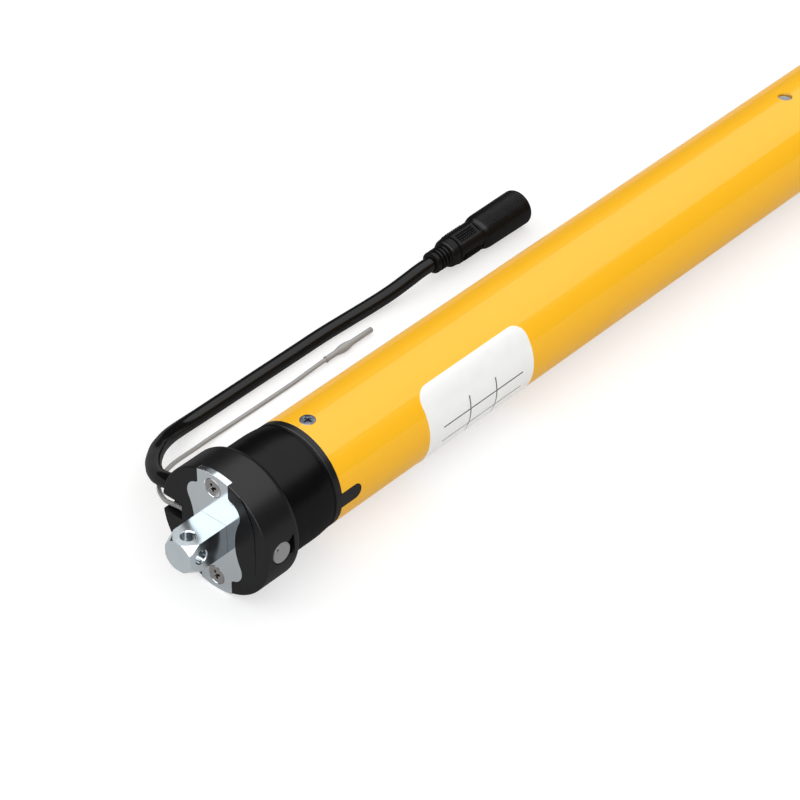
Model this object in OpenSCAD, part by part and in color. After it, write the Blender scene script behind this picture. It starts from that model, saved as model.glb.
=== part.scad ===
// Tubular motor for roller blinds, 35 mm class, with a 12 V lead and a radio aerial.
// X runs along the motor axis towards the drive shaft, Z is up, and the setting button faces -Y.
// The origin is on the axis at the end of the idler ring that faces the head's flange.
// Angles around the axis are counted from +Y towards +Z, so 90 is the top and 180 the button side.

/* [Tube] */
// Outer diameter of the motor tube
tube_d = 35; // [34.6:0.1:36]
// Wall of the motor tube
tube_wall = 1.2; // [1:0.1:1.3]
// Length of the motor tube
tube_len = 350; // [340:5:420]
// Diameter of the holes through which the gearbox pins show
pin_window_d = 5; // [4.4:0.1:6]
// Width of the key on the collar, and of the slot for it in the tube
key_w = 3; // [2:0.2:5]
// Length of that key
key_len = 7.4; // [5:0.2:12]
// Distance from the tube's head end to its head screws
head_screw_inset = 4.6; // [4:0.1:5.4]
// Distance from the tube's drive end to its end screws
end_screw_inset = 8; // [6:0.5:12]

/* [Head] */
// Diameter of the head flange
flange_d = 41.8; // [40:0.1:43]
// Distance from the head's front face to the idler ring
flange_len = 14.6; // [14:0.1:16]
// Radius of the flange's front edge
flange_round = 0.7; // [0.3:0.1:1.2]
// Radius of the flange's rear edge, which rolls down to the idler ring
flange_rear_round = 2.8; // [1.5:0.1:3]
// Diameter of the neck that the idler ring turns on
neck_d = 30; // [28:0.1:31]
// Diameter of the wire chamber inside the head
chamber_d = 23; // [21:0.1:24]
// Thickness of the wall between the mounting plate and the chamber
front_wall = 1.2; // [1:0.1:1.6]
// Length of the spigot that reaches into the collar insert
spigot_len = 15; // [12:1:20]
// Wall of that spigot
spigot_wall = 1.4; // [1.2:0.1:1.6]
// Depth of the step on the front face beside the mounting plate
face_step = 0.35; // [0.2:0.05:0.6]

/* [Idler ring] */
// Outer diameter of the idler ring
ring_d = 36; // [35.8:0.1:38]
// Outer diameter of its tapered tube end
ring_end_d = 35.1; // [34.8:0.1:35.6]
// Length of the idler ring
ring_len = 17.6; // [16:0.1:20]
// Length of its full diameter
ring_full_len = 12.8; // [10:0.1:13.4]
// Length of the taper after that
ring_taper_len = 4.2; // [2:0.1:4.4]

/* [Collar insert] */
// Length of the collar between the idler ring and the tube
collar_len = 2.25; // [1.5:0.05:3]
// Length of the insert inside the tube
insert_len = 22; // [18:1:30]

/* [Mounting plate and pin] */
// Thickness of the steel mounting plate
plate_t = 2; // [1.5:0.1:2.5]
// Width of the plate's end lugs
lug_w = 12; // [11:0.2:13]
// Radius of the plate's four lobes
lobe_r = 4.6; // [4:0.1:5]
// Half the distance across the lobe centres
lobe_y = 5.7; // [5.2:0.1:6.2]
// Height of the lobe centres above the axis
lobe_z = 10.2; // [9.6:0.1:10.6]
// Width of the plate at its waist
waist_w = 16; // [15:0.2:17]
// Radius in the shoulders between lobe and lug
shoulder_r = 1.2; // [0.8:0.1:1.4]
// Distance between the two plate screws
plate_screw_pitch = 32; // [31:0.2:33]
// Width of the square pin
pin_w = 10; // [9:0.1:10.4]
// Length of the pin in front of the plate
pin_len = 14.8; // [12:0.1:18]
// Length of the chamfer on the pin's corners
pin_chamfer_len = 3.3; // [2:0.1:4]
// Diameter of the cross holes in the pin
cross_d = 4.2; // [3:0.1:5]
// Distance of the cross holes from the pin's tip
cross_inset = 4.4; // [3.8:0.1:6]
// Width of the pin's square shank in the plate
shank_w = 8; // [7:0.1:8.6]

/* [Setting button] */
// Diameter of the button's cap
button_d = 6.8; // [5:0.1:7]
// Distance of the button behind the head's face
button_inset = 6; // [5.8:0.1:6.6]
// Travel of the button
button_travel = 0.8; // [0.4:0.1:1]
// Diameter of the pocket beside the cap
button_pocket_d = 8.4; // [7.8:0.1:8.8]
// Distance of that pocket behind the button's middle
button_pocket_shift = 0.9; // [0.4:0.1:1.2]

/* [Cable and connector] */
// Outer diameter of the supply cable
cable_d = 5; // [4:0.1:5.2]
// Height of the cable's exit above the axis
cable_exit_z = 3.2; // [3:0.1:4]
// Diameter of the connector's socket end
plug_d = 12.4; // [11:0.1:13]
// Length of the connector's socket end, with the shoulder before it
plug_end_len = 22.6; // [18:0.2:26]
// Diameter of the connector's grip
grip_d = 10.4; // [9:0.1:11]
// Length of the connector's grip, with its nose
grip_len = 15.2; // [12:0.2:20]
// Diameter of the connector's strain relief
relief_d = 7.5; // [6.6:0.1:8.4]
// Length of that strain relief
relief_len = 6.6; // [5:0.2:9]
// Diameter of the socket's bore
socket_d = 5.6; // [5:0.1:6.4]
// Depth of the socket's bore
socket_depth = 9.5; // [8:0.5:12]
// Diameter of the socket's centre contact
contact_d = 2.1; // [1.5:0.1:2.5]

/* [Aerial] */
// Diameter of the aerial wire
aerial_d = 1.4; // [1:0.1:1.8]
// Length of the sleeve on the aerial's end
sleeve_len = 21.5; // [16:0.5:26]
// Diameter of that sleeve
sleeve_d = 2; // [1.8:0.1:2.4]
// Diameter of the bead inside the sleeve
bead_d = 2.9; // [2.6:0.1:3.6]

/* [Electronics] */
// Length of the control board
board_len = 80; // [70:2:110]
// Distance from the control board's long edges to the tube's bore
board_side = 2.8; // [2.2:0.1:4]
// Thickness of both circuit boards
board_t = 1.6; // [1:0.1:2]

/* [Motor] */
// Thickness of the rubber between the motor and the tube
damper_t = 1.8; // [1.4:0.1:2.6]
// Length of the motor's can
motor_len = 58; // [52:1:66]
// Wall of the motor's can
motor_wall = 1.4; // [1:0.1:1.6]
// Gap between the armature and the magnets
air_gap = 0.6; // [0.3:0.1:1]
// Length of the armature's core
armature_len = 32; // [26:1:36]
// Diameter of the motor shaft
motor_shaft_d = 4; // [3:0.1:4.4]
// Length of the brake
brake_len = 13.8; // [12:0.1:16]

/* [Gearbox] */
// Wall of the ring gear outside its teeth
ring_gear_wall = 1.22; // [1.1:0.02:1.6]
// Teeth of each sun
sun_teeth = 12; // [12:12:12]
// Teeth of each planet
planet_teeth = 18; // [18:18:18]
// Planets in each stage
planets = 3; // [3:1:3]
// Face width of the first stage's planets
planet_w_1 = 10; // [8:0.5:12]
// Face width of the second stage's planets
planet_w_2 = 14; // [10:0.5:16]
// Face width of the third stage's planets
planet_w_3 = 20; // [16:0.5:22]
// Thickness of the first carrier's disc
disc_t_1 = 4; // [3:0.5:5]
// Thickness of the second carrier's disc
disc_t_2 = 5; // [4:0.5:6]
// Thickness of the third carrier's disc
disc_t_3 = 8; // [6:0.5:9]
// Diameter of the pins that the first two stages' planets turn on
planet_pin_d = 3.4; // [3:0.1:4]
// Diameter of the pins that the third stage's planets turn on
last_planet_pin_d = 4.6; // [4:0.1:5]
// Length of the gearbox's input flange
input_flange_len = 9.6; // [8:0.2:12]

/* [Drive end] */
// Diameter of the drive shaft
shaft_d = 12; // [11:0.1:12.6]
// Diameter of the drive shaft in its bushes
journal_d = 13; // [12.8:0.1:13.6]
// Width across the drive shaft's two flats
flats_w = 10; // [9:0.1:10.6]
// Length of the end with the flats, behind the round seat of the drive wheel
flats_len = 10; // [8:0.5:12]
// Length of the drive shaft outside the end bearing
shaft_out = 16; // [14:0.5:20]
// Length of the end bearing inside the tube
bearing_len = 46; // [40:1:60]
// Length of the end bearing's rim outside the tube
bearing_rim = 2.5; // [2:0.1:4]

/* [Fits] */
// Radial clearance of every turning or sliding fit
running_fit = 0.05; // [0.03:0.01:0.08]
// Gap between pieces that are pushed together and stay still
push_fit = 0.03; // [0.02:0.01:0.05]
// Gap at each side of the idler ring
side_gap = 0.15; // [0.1:0.01:0.2]
// Thinning of each gear tooth flank, which leaves the backlash
flank_gap = 0.05; // [0.04:0.01:0.06]
// End play beside each set of planets and each disc
end_play = 0.3; // [0.2:0.05:0.4]

/* [Hidden] */
$fn = 64;

// A small overrun that makes cuts clean
over = 0.1;
black = "#1b1b1d";
steel = "#b9bec3";
zinc = "#c3cacd";
bronze = "#b08d57";
copper = "#b8692f";
board_green = "#2f6b3f";

// Stations along the axis, from the head to the drive end
face_x = -flange_len;
plate_back_x = face_x + plate_t;
chamber_x = plate_back_x + front_wall;
shoulder_x = -side_gap;
collar_x = ring_len + side_gap;
tube_x = collar_x + collar_len;
tube_end = tube_x + tube_len;
bearing_end = tube_end + bearing_rim;
bearing_x = tube_end - bearing_len;
planet_w = [planet_w_1, planet_w_2, planet_w_3];
disc_t = [disc_t_1, disc_t_2, disc_t_3];
washer_t = 0.9;
stage_len = [for (i = [0:2]) 2 * end_play + planet_w[i] + disc_t[i]];
gears_len = stage_len[0] + stage_len[1] + stage_len[2] + washer_t + end_play;
gears_x = bearing_x - gears_len;
stage_x = [gears_x, gears_x + stage_len[0], gears_x + stage_len[0] + stage_len[1]];
input_x = gears_x - input_flange_len;
window_x = input_x + input_flange_len / 2;
motor_front = input_x - brake_len - end_play;
motor_back = motor_front - motor_len;
cap_len = 8;
cap_x = motor_back - cap_len;
hall_gap = 3.2;
hall_x = cap_x - hall_gap - board_t;
tray_end = 3;
carrier_x = tube_x + insert_len + 2;
carrier_len = board_len + 2 * tray_end;
board_x = carrier_x + tray_end;
terminal_inset = 3;
terminal_len = 8;
terminal_z = 2.6;
lead_r = 0.7;
lead_hole_y = 5;
lead_hole_z = 6;

// Radii
tube_r = tube_d / 2;
bore_r = tube_r - tube_wall;
flange_r = flange_d / 2;
neck_r = neck_d / 2;
chamber_r = chamber_d / 2;
spigot_r = chamber_r + spigot_wall;
insert_r = bore_r - running_fit;
shaft_r = shaft_d / 2;
journal_r = journal_d / 2;
motor_r = bore_r - damper_t;
magnet_r = motor_r - motor_wall - push_fit;
magnet_t = 3;
armature_r = magnet_r - magnet_t - air_gap;
board_w = 2 * (bore_r - board_side);

// Gears: the ring's teeth follow from the sun's and the planets'
ring_teeth = sun_teeth + 2 * planet_teeth;
pressure_angle = 25;
addendum_share = 0.8;
dedendum_share = 1.05;
gear_module = (insert_r - ring_gear_wall) / (ring_teeth / 2 + dedendum_share);
addendum = addendum_share * gear_module;
dedendum = dedendum_share * gear_module;
sun_pitch_r = gear_module * sun_teeth / 2;
planet_pitch_r = gear_module * planet_teeth / 2;
ring_pitch_r = gear_module * ring_teeth / 2;
centre_r = sun_pitch_r + planet_pitch_r;
disc_r = ring_pitch_r - addendum - 4 * running_fit;
flank_steps = 3;

// Screws, all countersunk with a cross recess
plate_screw = [3, 6.2, 1.6, 8];
tube_screw = [2.6, 5, tube_wall, tube_r - chamber_r - 0.6];
head_screw_x = tube_x + head_screw_inset;
end_screw_x = tube_end - end_screw_inset;

// Cable route: cords lie on the surface under the flange
floor_z = -flange_r;
exit_x = -8.4;
exit_y = 15;
passage_w = cable_d + 1;
passage_low = -2.8;
passage_high = cable_exit_z + passage_w / 2 + 0.2;
notch_y = 13;
notch_top = 3;
gland_t = 3.4;
gland_nose_t = 0.6;
cable_route = [
    [-8.4, 15, 3.2], [-8.4, 18.5, 3.2], [-8.3, 22.3, 2.2], [-7.6, 26.5, 0.5], [-6.1, 30.7, -1.5],
    [-3.7, 34.8, -3.5], [-0.7, 38.6, -5.5], [3, 42.5, -7.6], [7.1, 46.1, -9.8], [11.6, 49.5, -11.7],
    [16.3, 52.3, -13.6], [21.2, 54.5, -15.2], [26.3, 56.1, -16.7], [31.5, 57, -17.7],
    [37, 57.4, -18.2], [44.5, 57.6, -18.4], [56.6, 57.6, -18.4], [68.6, 57.6, -18.4],
    [80.6, 57.6, -18.4], [92.6, 57.6, -18.4], [103.6, 57.2, -18.4], [113.6, 56.3, -17.9],
    [122.6, 55.2, -16.8], [130, 54.5, -15.5], [135.4, 54.2, -14.7], [140.4, 54.2, -14.7]
];
aerial_route = [
    [-12.7, 13.6, -0.7], [-12.7, 15.4, -0.7], [-12.6, 17.4, -1], [-12.4, 19.8, -1.6],
    [-11.7, 22.4, -2.6], [-10.1, 25.6, -3.8], [-7.8, 29.1, -5.1], [-5, 32.2, -6.4], [-1.6, 35.1, -7.9],
    [2.4, 37.9, -9.6], [7, 40.5, -11.6], [11.9, 42.9, -13.7], [17.8, 45.2, -16.1], [23.9, 47, -18.1],
    [32.1, 48.5, -19.6], [42.6, 49, -20.2], [52.6, 49, -20.2], [62.6, 49, -20.2], [70.7, 49, -20.1],
    [77.7, 49, -19.7], [82.7, 49, -19.45], [85.7, 49, -19.45]
];
plug_x = 140.4;
plug_y = 54.2;
plug_z = floor_z + plug_d / 2;
sleeve_x = 84.7;
sleeve_y = 49;
sleeve_z = floor_z + bead_d / 2;

// A drawing in Y and Z, extruded or turned along the motor axis from station x
module along(x = 0) {
    translate([x, 0, 0])
        rotate([90, 0, 90])
            children();
}

// A cylinder on the motor axis from x0 to x1
module bar(r, x0, x1) {
    along(x0)
        cylinder(r = r, h = x1 - x0);
}

// A tube on the motor axis from x0 to x1
module pipe(r_out, r_in, x0, x1) {
    difference() {
        bar(r_out, x0, x1);
        bar(r_in, x0 - over, x1 + over);
    }
}

// Children placed at station x and turned so that their +Z points outward at the angle
module outward(x, angle) {
    translate([x, 0, 0])
        rotate([angle - 90, 0, 0])
            children();
}

// A countersunk screw whose head is flush at z = 0, pointing down: d, head d, head height, length
module screw(size) {
    slot_w = size[0] / 5;
    slot_l = size[1] * 0.55;
    difference() {
        union() {
            translate([0, 0, -size[2]])
                cylinder(r1 = size[0] / 2, r2 = size[1] / 2, h = size[2]);
            translate([0, 0, -size[3]])
                cylinder(r = size[0] / 2, h = size[3] - size[2]);
        }
        for (turn = [0, 90])
            rotate([0, 0, turn + 20])
                translate([-slot_l / 2, -slot_w / 2, -size[2] * 0.7])
                    cube([slot_l, slot_w, size[2]]);
    }
}

// The hole that such a screw needs, with the push fit all round
module screw_hole(size) {
    translate([0, 0, -size[2] - push_fit])
        cylinder(r1 = size[0] / 2 + push_fit, r2 = size[1] / 2 + 2 * push_fit, h = size[2] + 2 * push_fit);
    translate([0, 0, -size[3] - push_fit])
        cylinder(r = size[0] / 2 + push_fit, h = size[3]);
    cylinder(r = size[1] / 2 + 2 * push_fit, h = 5);
}

// The places of the tube screws: the head pair, then the drive end pair
module at_tube_screws(stations) {
    for (x = stations, angle = [90, 270])
        outward(x, angle)
            translate([0, 0, tube_r])
                children();
}

// Outline of the mounting plate in Y and Z, grown by a clearance
module plate_outline(grow = 0) {
    r = lobe_r + grow;
    waist = waist_w / 2 + grow;
    lug = lug_w / 2 + grow;
    shoulder = shoulder_r - grow;
    // the waist's arc and the lobes touch, and so do the shoulder's arc and the lobes
    waist_r = (pow(waist - lobe_y, 2) + pow(lobe_z, 2) - pow(r, 2)) / (2 * (r - waist + lobe_y));
    waist_c = waist + waist_r;
    reach = waist_r + r;
    touch_y = lobe_y + r * (waist_c - lobe_y) / reach;
    touch_z = lobe_z - r * lobe_z / reach;
    shoulder_y = lug + shoulder;
    shoulder_z = lobe_z + sqrt(pow(r + shoulder, 2) - pow(shoulder_y - lobe_y, 2));
    meet_y = lobe_y + r * (shoulder_y - lobe_y) / (r + shoulder);
    meet_z = lobe_z + r * (shoulder_z - lobe_z) / (r + shoulder);
    difference() {
        union() {
            for (y = [-1, 1], z = [-1, 1])
                translate([y * lobe_y, z * lobe_z])
                    circle(r);
            polygon([
                for (turn = [1, -1])
                    each turn * [
                        [touch_y, touch_z], [lobe_y, lobe_z], [meet_y, meet_z], [lug, shoulder_z],
                        [-lug, shoulder_z], [-meet_y, meet_z], [-lobe_y, lobe_z], [-touch_y, touch_z]
                    ]
            ]);
            intersection() {
                circle(flange_r);
                square([2 * lug, 2 * flange_r + 1], center = true);
            }
        }
        for (y = [-1, 1])
            translate([y * waist_c, 0])
                circle(waist_r);
        for (y = [-1, 1], z = [-1, 1])
            translate([y * shoulder_y, z * shoulder_z])
                circle(shoulder);
    }
}

function inv(angle) = tan(angle) * 180 / PI - angle;

// Half the angle that a tooth takes at radius r, for a base radius and a thinning at the pitch radius
function half_tooth(teeth, pitch_r, base_r, r, thin) =
    90 / teeth + inv(pressure_angle) - inv(acos(min(1, base_r / r))) - thin / pitch_r * 180 / PI;

// Points of a gear with involute flanks, with one tooth at angle 0
function gear_points(teeth, r_in, r_out, thin) =
    let (
        pitch_r = gear_module * teeth / 2,
        base_r = pitch_r * cos(pressure_angle),
        start = max(r_in, base_r),
        up = [for (i = [0:flank_steps]) start + (r_out - start) * i / flank_steps],
        root = start > r_in ? [r_in] : []
    )
    [
        for (k = [0:teeth - 1], side = [-1, 1])
            let (rs = side < 0 ? concat(root, up) : [for (i = [len(up) - 1:-1:0]) up[i]])
            for (r = side < 0 ? rs : concat(rs, root))
                let (
                    h = half_tooth(teeth, pitch_r, base_r, max(r, start), thin),
                    angle = 360 * k / teeth + side * h
                )
                [r * cos(angle), r * sin(angle)]
    ];

// An external gear lying along the axis, with a tooth or a gap at angle 0
module gear(teeth, w, gap_first = false) {
    pitch_r = gear_module * teeth / 2;
    rotate([0, 0, gap_first ? 180 / teeth : 0])
        linear_extrude(w)
            polygon(gear_points(teeth, pitch_r - dedendum, pitch_r + addendum, flank_gap));
}

function unit(v) = v / norm(v);

// Direction of a route at its point i
function heading(route, i) =
    unit(route[min(i + 1, len(route) - 1)] - route[max(i - 1, 0)]);

// Side vectors carried along the route without twist
function sides_along(route, i = 0, side = [0, 0, 1], found = []) =
    i == len(route) ? found :
    let (
        d = heading(route, i),
        s = unit(side - (side * d) * d)
    )
    sides_along(route, i + 1, s, concat(found, [s]));

// A cord swept along a route as one closed mesh
module cord(route, r, sides) {
    across = sides_along(route);
    points = [
        for (i = [0:len(route) - 1])
            let (d = heading(route, i), s = across[i], t = cross(d, s))
            for (k = [0:sides - 1])
                route[i] + r * cos(360 * k / sides) * s + r * sin(360 * k / sides) * t
    ];
    n = len(route);
    walls = [
        for (i = [0:n - 2], k = [0:sides - 1])
            let (
                a = i * sides + k,
                b = i * sides + (k + 1) % sides
            )
            [a, a + sides, b + sides, b]
    ];
    start = [for (k = [0:sides - 1]) k];
    finish = [for (k = [sides - 1:-1:0]) (n - 1) * sides + k];
    polyhedron(points, concat(walls, [start, finish]));
}

module tube() {
    color("#f5a81c")
        difference() {
            pipe(tube_r, bore_r, tube_x, tube_end);
            // the slot for the collar's key, open to the tube's end
            outward(tube_x, 180)
                key_shape(bore_r - 1, tube_r + 1, running_fit);
            at_tube_screws([head_screw_x, end_screw_x])
                screw_hole(tube_screw);
            for (angle = [90, 270])
                outward(window_x, angle)
                    cylinder(r = pin_window_d / 2, h = tube_r + 1);
        }
}

// The round-ended key between two radii, starting at the tube's end
module key_shape(r_in, r_out, grow = 0) {
    w = key_w + 2 * grow;
    translate([0, 0, r_in]) {
        translate([-over, -w / 2, 0])
            cube([key_len - key_w / 2 + over, w, r_out - r_in]);
        translate([key_len - key_w / 2, 0, 0])
            cylinder(r = w / 2, h = r_out - r_in);
    }
}

module head_housing() {
    color(black)
        difference() {
            union() {
                along(face_x)
                    rotate_extrude()
                        flange_profile(shoulder_x - face_x);
                bar(neck_r, shoulder_x - over, collar_x);
                bar(spigot_r, collar_x - over, collar_x + spigot_len);
            }
            along(face_x - over)
                linear_extrude(plate_t + over)
                    plate_outline(push_fit);
            bar(chamber_r, chamber_x, collar_x + spigot_len + over);
            along(face_x)
                linear_extrude(flange_len / 2)
                    square(pin_w + 2 * push_fit, center = true);
            face_relief();
            cable_passage();
            button_passage();
            plate_screw_places()
                screw_hole(plate_screw);
            at_tube_screws([head_screw_x])
                screw_hole(tube_screw);
        }
}

// Half section of the flange, with a rounded front edge and a larger rounding at the rear
module flange_profile(len) {
    front = flange_round;
    rear = flange_rear_round;
    square([flange_r - front, front]);
    translate([0, front])
        square([flange_r, len - front - rear]);
    square([flange_r - rear, len]);
    for (corner = [[front, front], [rear, len - rear]])
        translate([flange_r - corner[0], corner[1]])
            intersection() {
                circle(corner[0]);
                translate([0, -corner[0]])
                    square(2 * corner[0]);
            }
}

// The shallow step beside the plate, deepest at the top and fading out below the axis
module face_relief() {
    arc_r = 26;
    arc_reach = 14.6;
    edge_w = 8;
    fade_z = -9;
    rise = flange_r - fade_z;
    intersection() {
        along(face_x - 1)
            linear_extrude(3)
                difference() {
                    translate([-flange_r - 1, fade_z])
                        square([flange_r - edge_w, flange_r - fade_z]);
                    translate([arc_r - arc_reach, 0])
                        circle(arc_r);
                }
        translate([face_x, 0, fade_z])
            rotate([0, atan(face_step / rise), 0])
                translate([-5, -flange_r - 1, -2])
                    cube([5, 2 * flange_r + 2, 2 * flange_r]);
    }
}

// The way out for the cable and the aerial, with the notch that opens it to the front
module cable_passage() {
    rear_x = exit_x + passage_w / 2;
    translate([exit_x - passage_w / 2, chamber_r - 2, passage_low])
        cube([passage_w, flange_r, passage_high - passage_low]);
    translate([face_x - 1, notch_y, passage_low])
        cube([rear_x - face_x + 1, flange_r, notch_top - passage_low]);
}

// The bore of the setting button, wide at both ends with a step between
module button_passage() {
    outward(face_x + button_inset, 180) {
        cylinder(r = button_d / 2 + running_fit, h = flange_r + 1);
        translate([button_pocket_shift, 0, flange_r - button_pocket_t])
            cylinder(r = button_pocket_d / 2, h = 3);
        cylinder(r = button_d / 2 + 1, h = button_step_r);
    }
}

// Depth of the button's pocket, and the radius at which the button's collar stops outward
button_pocket_t = 1.4;
button_step_r = flange_r - 5.6;

module plate_screw_places() {
    for (z = [-1, 1])
        translate([face_x, 0, z * plate_screw_pitch / 2])
            rotate([0, -90, 0])
                children();
}

module collar_insert() {
    color(black)
        difference() {
            union() {
                along(collar_x)
                    rotate_extrude()
                        polygon([
                            [0, 0], [tube_r - 0.3, 0], [tube_r, 0.3], [tube_r, collar_len], [0, collar_len]
                        ]);
                bar(insert_r, tube_x - over, tube_x + insert_len);
                outward(tube_x, 180)
                    key_shape(insert_r - 1, tube_r);
            }
            bar(spigot_r + running_fit, collar_x - over, collar_x + spigot_len + push_fit);
            bar(chamber_r, collar_x, tube_x + insert_len + over);
            at_tube_screws([head_screw_x])
                screw_hole(tube_screw);
        }
}

module mounting_plate() {
    color(zinc)
        difference() {
            along(face_x)
                linear_extrude(plate_t)
                    difference() {
                        plate_outline();
                        square(shank_w, center = true);
                    }
            plate_screw_places()
                screw_hole(plate_screw);
        }
}

module square_pin() {
    color(zinc)
        difference() {
            union() {
                intersection() {
                    along(face_x - pin_len)
                        linear_extrude(pin_len)
                            square(pin_w, center = true);
                    along(face_x - pin_len) {
                        corner_r = pin_w / sqrt(2) + 0.2;
                        cylinder(r1 = pin_w / 2, r2 = corner_r, h = pin_chamfer_len);
                        translate([0, 0, pin_chamfer_len])
                            cylinder(r = corner_r, h = pin_len);
                    }
                }
                // the square shank through the plate, headed over behind it
                along(face_x - over)
                    linear_extrude(plate_t + over)
                        square(shank_w - push_fit, center = true);
                along(plate_back_x)
                    linear_extrude(front_wall)
                        square(pin_w, center = true);
            }
            translate([face_x - pin_len + cross_inset, 0, 0]) {
                cylinder(r = cross_d / 2, h = pin_w + 1, center = true);
                rotate([90, 0, 0])
                    cylinder(r = cross_d / 2, h = pin_w + 1, center = true);
            }
        }
}

module plate_screws() {
    color(steel)
        plate_screw_places()
            screw(plate_screw);
}

module tube_screws() {
    color("#4a4a50")
        at_tube_screws([head_screw_x, end_screw_x])
            screw(tube_screw);
}

// A thin sheet that follows the tube, cut from a sleeve by its own unrolled outline
module rating_label() {
    label_x = tube_x + 40.3;
    label_len = 43;
    label_t = 0.12;
    middle = 190.5;
    label_w = 37.6;
    corner = 5;
    flat_w = 2 * tube_r * sin(label_w / tube_r * 90 / PI);
    color("white")
        intersection() {
            pipe(tube_r + label_t, tube_r, label_x - 1, label_x + label_len + 1);
            outward(label_x, middle)
                linear_extrude(tube_r + 1)
                    rounded_box(label_len, flat_w, corner);
        }
}

// A rectangle with round corners, from x = 0 and centred in y
module rounded_box(len, w, r) {
    translate([r, -w / 2])
        square([len - 2 * r, w]);
    translate([0, r - w / 2])
        square([len, w - 2 * r]);
    for (x = [r, len - r], y = [r - w / 2, w / 2 - r])
        translate([x, y])
            circle(r);
}

// A rubber block that closes the passage; the cable starts at its face, the aerial at its front lip
module cable_gland() {
    w = passage_w - 2 * push_fit;
    h = passage_high - passage_low - 2 * push_fit;
    groove_w = 0.8;
    lip_x = face_x + 0.7;
    color("#2a2a2c")
        difference() {
            union() {
                translate([exit_x - w / 2, exit_y - gland_t, passage_low + push_fit])
                    cube([w, gland_t, h]);
                translate([lip_x, notch_y, passage_low + push_fit])
                    cube([exit_x - lip_x, gland_nose_t, notch_top - passage_low - 2 * push_fit]);
            }
            // the two rubber lips are parted by a groove on the hidden side
            translate([exit_x + w / 2 - 0.5, exit_y - gland_t / 2 - groove_w / 2, passage_low])
                cube([1, groove_w, h + 1]);
        }
}

module power_cable() {
    color(black)
        cord(cable_route, cable_d / 2, 12);
}

module aerial_wire() {
    color("#b4b4b4")
        cord(aerial_route, aerial_d / 2, 8);
}

// Half section of a turned piece: [station, radius] pairs along its own axis
module turned(profile, x, y, z) {
    translate([x, y, z])
        rotate([90, 0, 90])
            rotate_extrude()
                polygon(concat([[0, profile[0][0]]], [for (p = profile) [p[1], p[0]]],
                    [[0, profile[len(profile) - 1][0]]]));
}

// Half section of the strain relief: a wide first rib and narrower ones after it
function relief_rows(ribs, first_w) =
    let (pitch = (relief_len - first_w) / ribs, r = relief_d / 2, low = r - 0.8)
    concat(
        [[0, r - 0.7], [0.4, r - 0.1], [first_w * 0.4, r], [first_w - 0.5, r - 0.1], [first_w - 0.3, low]],
        [
            for (i = [0:ribs - 1])
                let (x = first_w + i * pitch)
                each [[x, low], [x + 0.2, r], [x + pitch - 0.5, r], [x + pitch - 0.3, low]]
        ]
    );

module connector_body() {
    nose_len = 3;
    shoulder_len = 3;
    end_r = 1.6;
    grip_r = grip_d / 2;
    plug_r = plug_d / 2;
    grip_x = relief_len;
    end_x = grip_x + grip_len;
    total = end_x + plug_end_len;
    color(black)
        difference() {
            turned(
                concat(relief_rows(3, 2.2), [
                    [grip_x, grip_r - 1.1], [grip_x + 0.3, grip_r - 0.7], [grip_x + 1, grip_r - 0.4],
                    [grip_x + nose_len, grip_r - 0.2], [grip_x + nose_len + 0.4, grip_r],
                    [end_x - 0.6, grip_r], [end_x, grip_r - 0.4], [end_x + 0.4, grip_r - 0.2],
                    [end_x + 1, grip_r + 0.4], [end_x + 1.8, plug_r - 0.3],
                    [end_x + shoulder_len, plug_r - 0.15], [total - end_r, plug_r],
                    for (turn = [15:15:75])
                        [total - end_r + end_r * sin(turn), plug_r - end_r + end_r * cos(turn)],
                    [total, plug_r - end_r]
                ]),
                plug_x, plug_y, plug_z
            );
            // the four flats of the grip
            for (turn = [0:90:270])
                translate([plug_x + grip_x + nose_len + 0.6, plug_y, plug_z])
                    rotate([turn + 20, 0, 0])
                        translate([0, -grip_d / 2, grip_r - 0.35])
                            cube([grip_len - nose_len - 1.6, grip_d, 2]);
            translate([plug_x + total - socket_depth, plug_y, plug_z])
                rotate([0, 90, 0])
                    cylinder(r = socket_d / 2, h = socket_depth + 1);
        }
}

// The socket's centre contact on its round base
module connector_contacts() {
    total = relief_len + grip_len + plug_end_len;
    contact_len = socket_depth - 1;
    x = plug_x + total - socket_depth;
    color(zinc) {
        translate([x, plug_y, plug_z])
            rotate([0, 90, 0]) {
                cylinder(r = contact_d / 2, h = contact_len - 0.6);
                translate([0, 0, contact_len - 0.6])
                    cylinder(r1 = contact_d / 2, r2 = contact_d / 2 - 0.5, h = 0.6);
                cylinder(r = socket_d / 2 - push_fit, h = 0.8);
            }
    }
}

module aerial_sleeve() {
    r = sleeve_d / 2;
    bead_x = 8.2;
    color("#bdbdbd")
        difference() {
            turned([
                    [0, r], [bead_x - 3.4, r], [bead_x - 1.6, bead_d / 2], [bead_x + 1.6, bead_d / 2],
                    [bead_x + 4, r - 0.1], [sleeve_len, r - 0.1]
                ], sleeve_x, sleeve_y, sleeve_z);
            translate([sleeve_x - over, sleeve_y, sleeve_z])
                rotate([0, 90, 0])
                    cylinder(r = aerial_d / 2 + push_fit, h = 1 + over);
        }
}

module idler_ring() {
    edge = 0.3;
    r = ring_d / 2;
    end_r = ring_end_d / 2;
    color("#202022")
        along()
            rotate_extrude()
                polygon([
                    [neck_r + running_fit, 0], [r, 0], [r, ring_full_len],
                    [end_r, ring_full_len + ring_taper_len], [end_r, ring_len - edge],
                    [end_r - edge, ring_len], [neck_r + running_fit, ring_len]
                ]);
}

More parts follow.
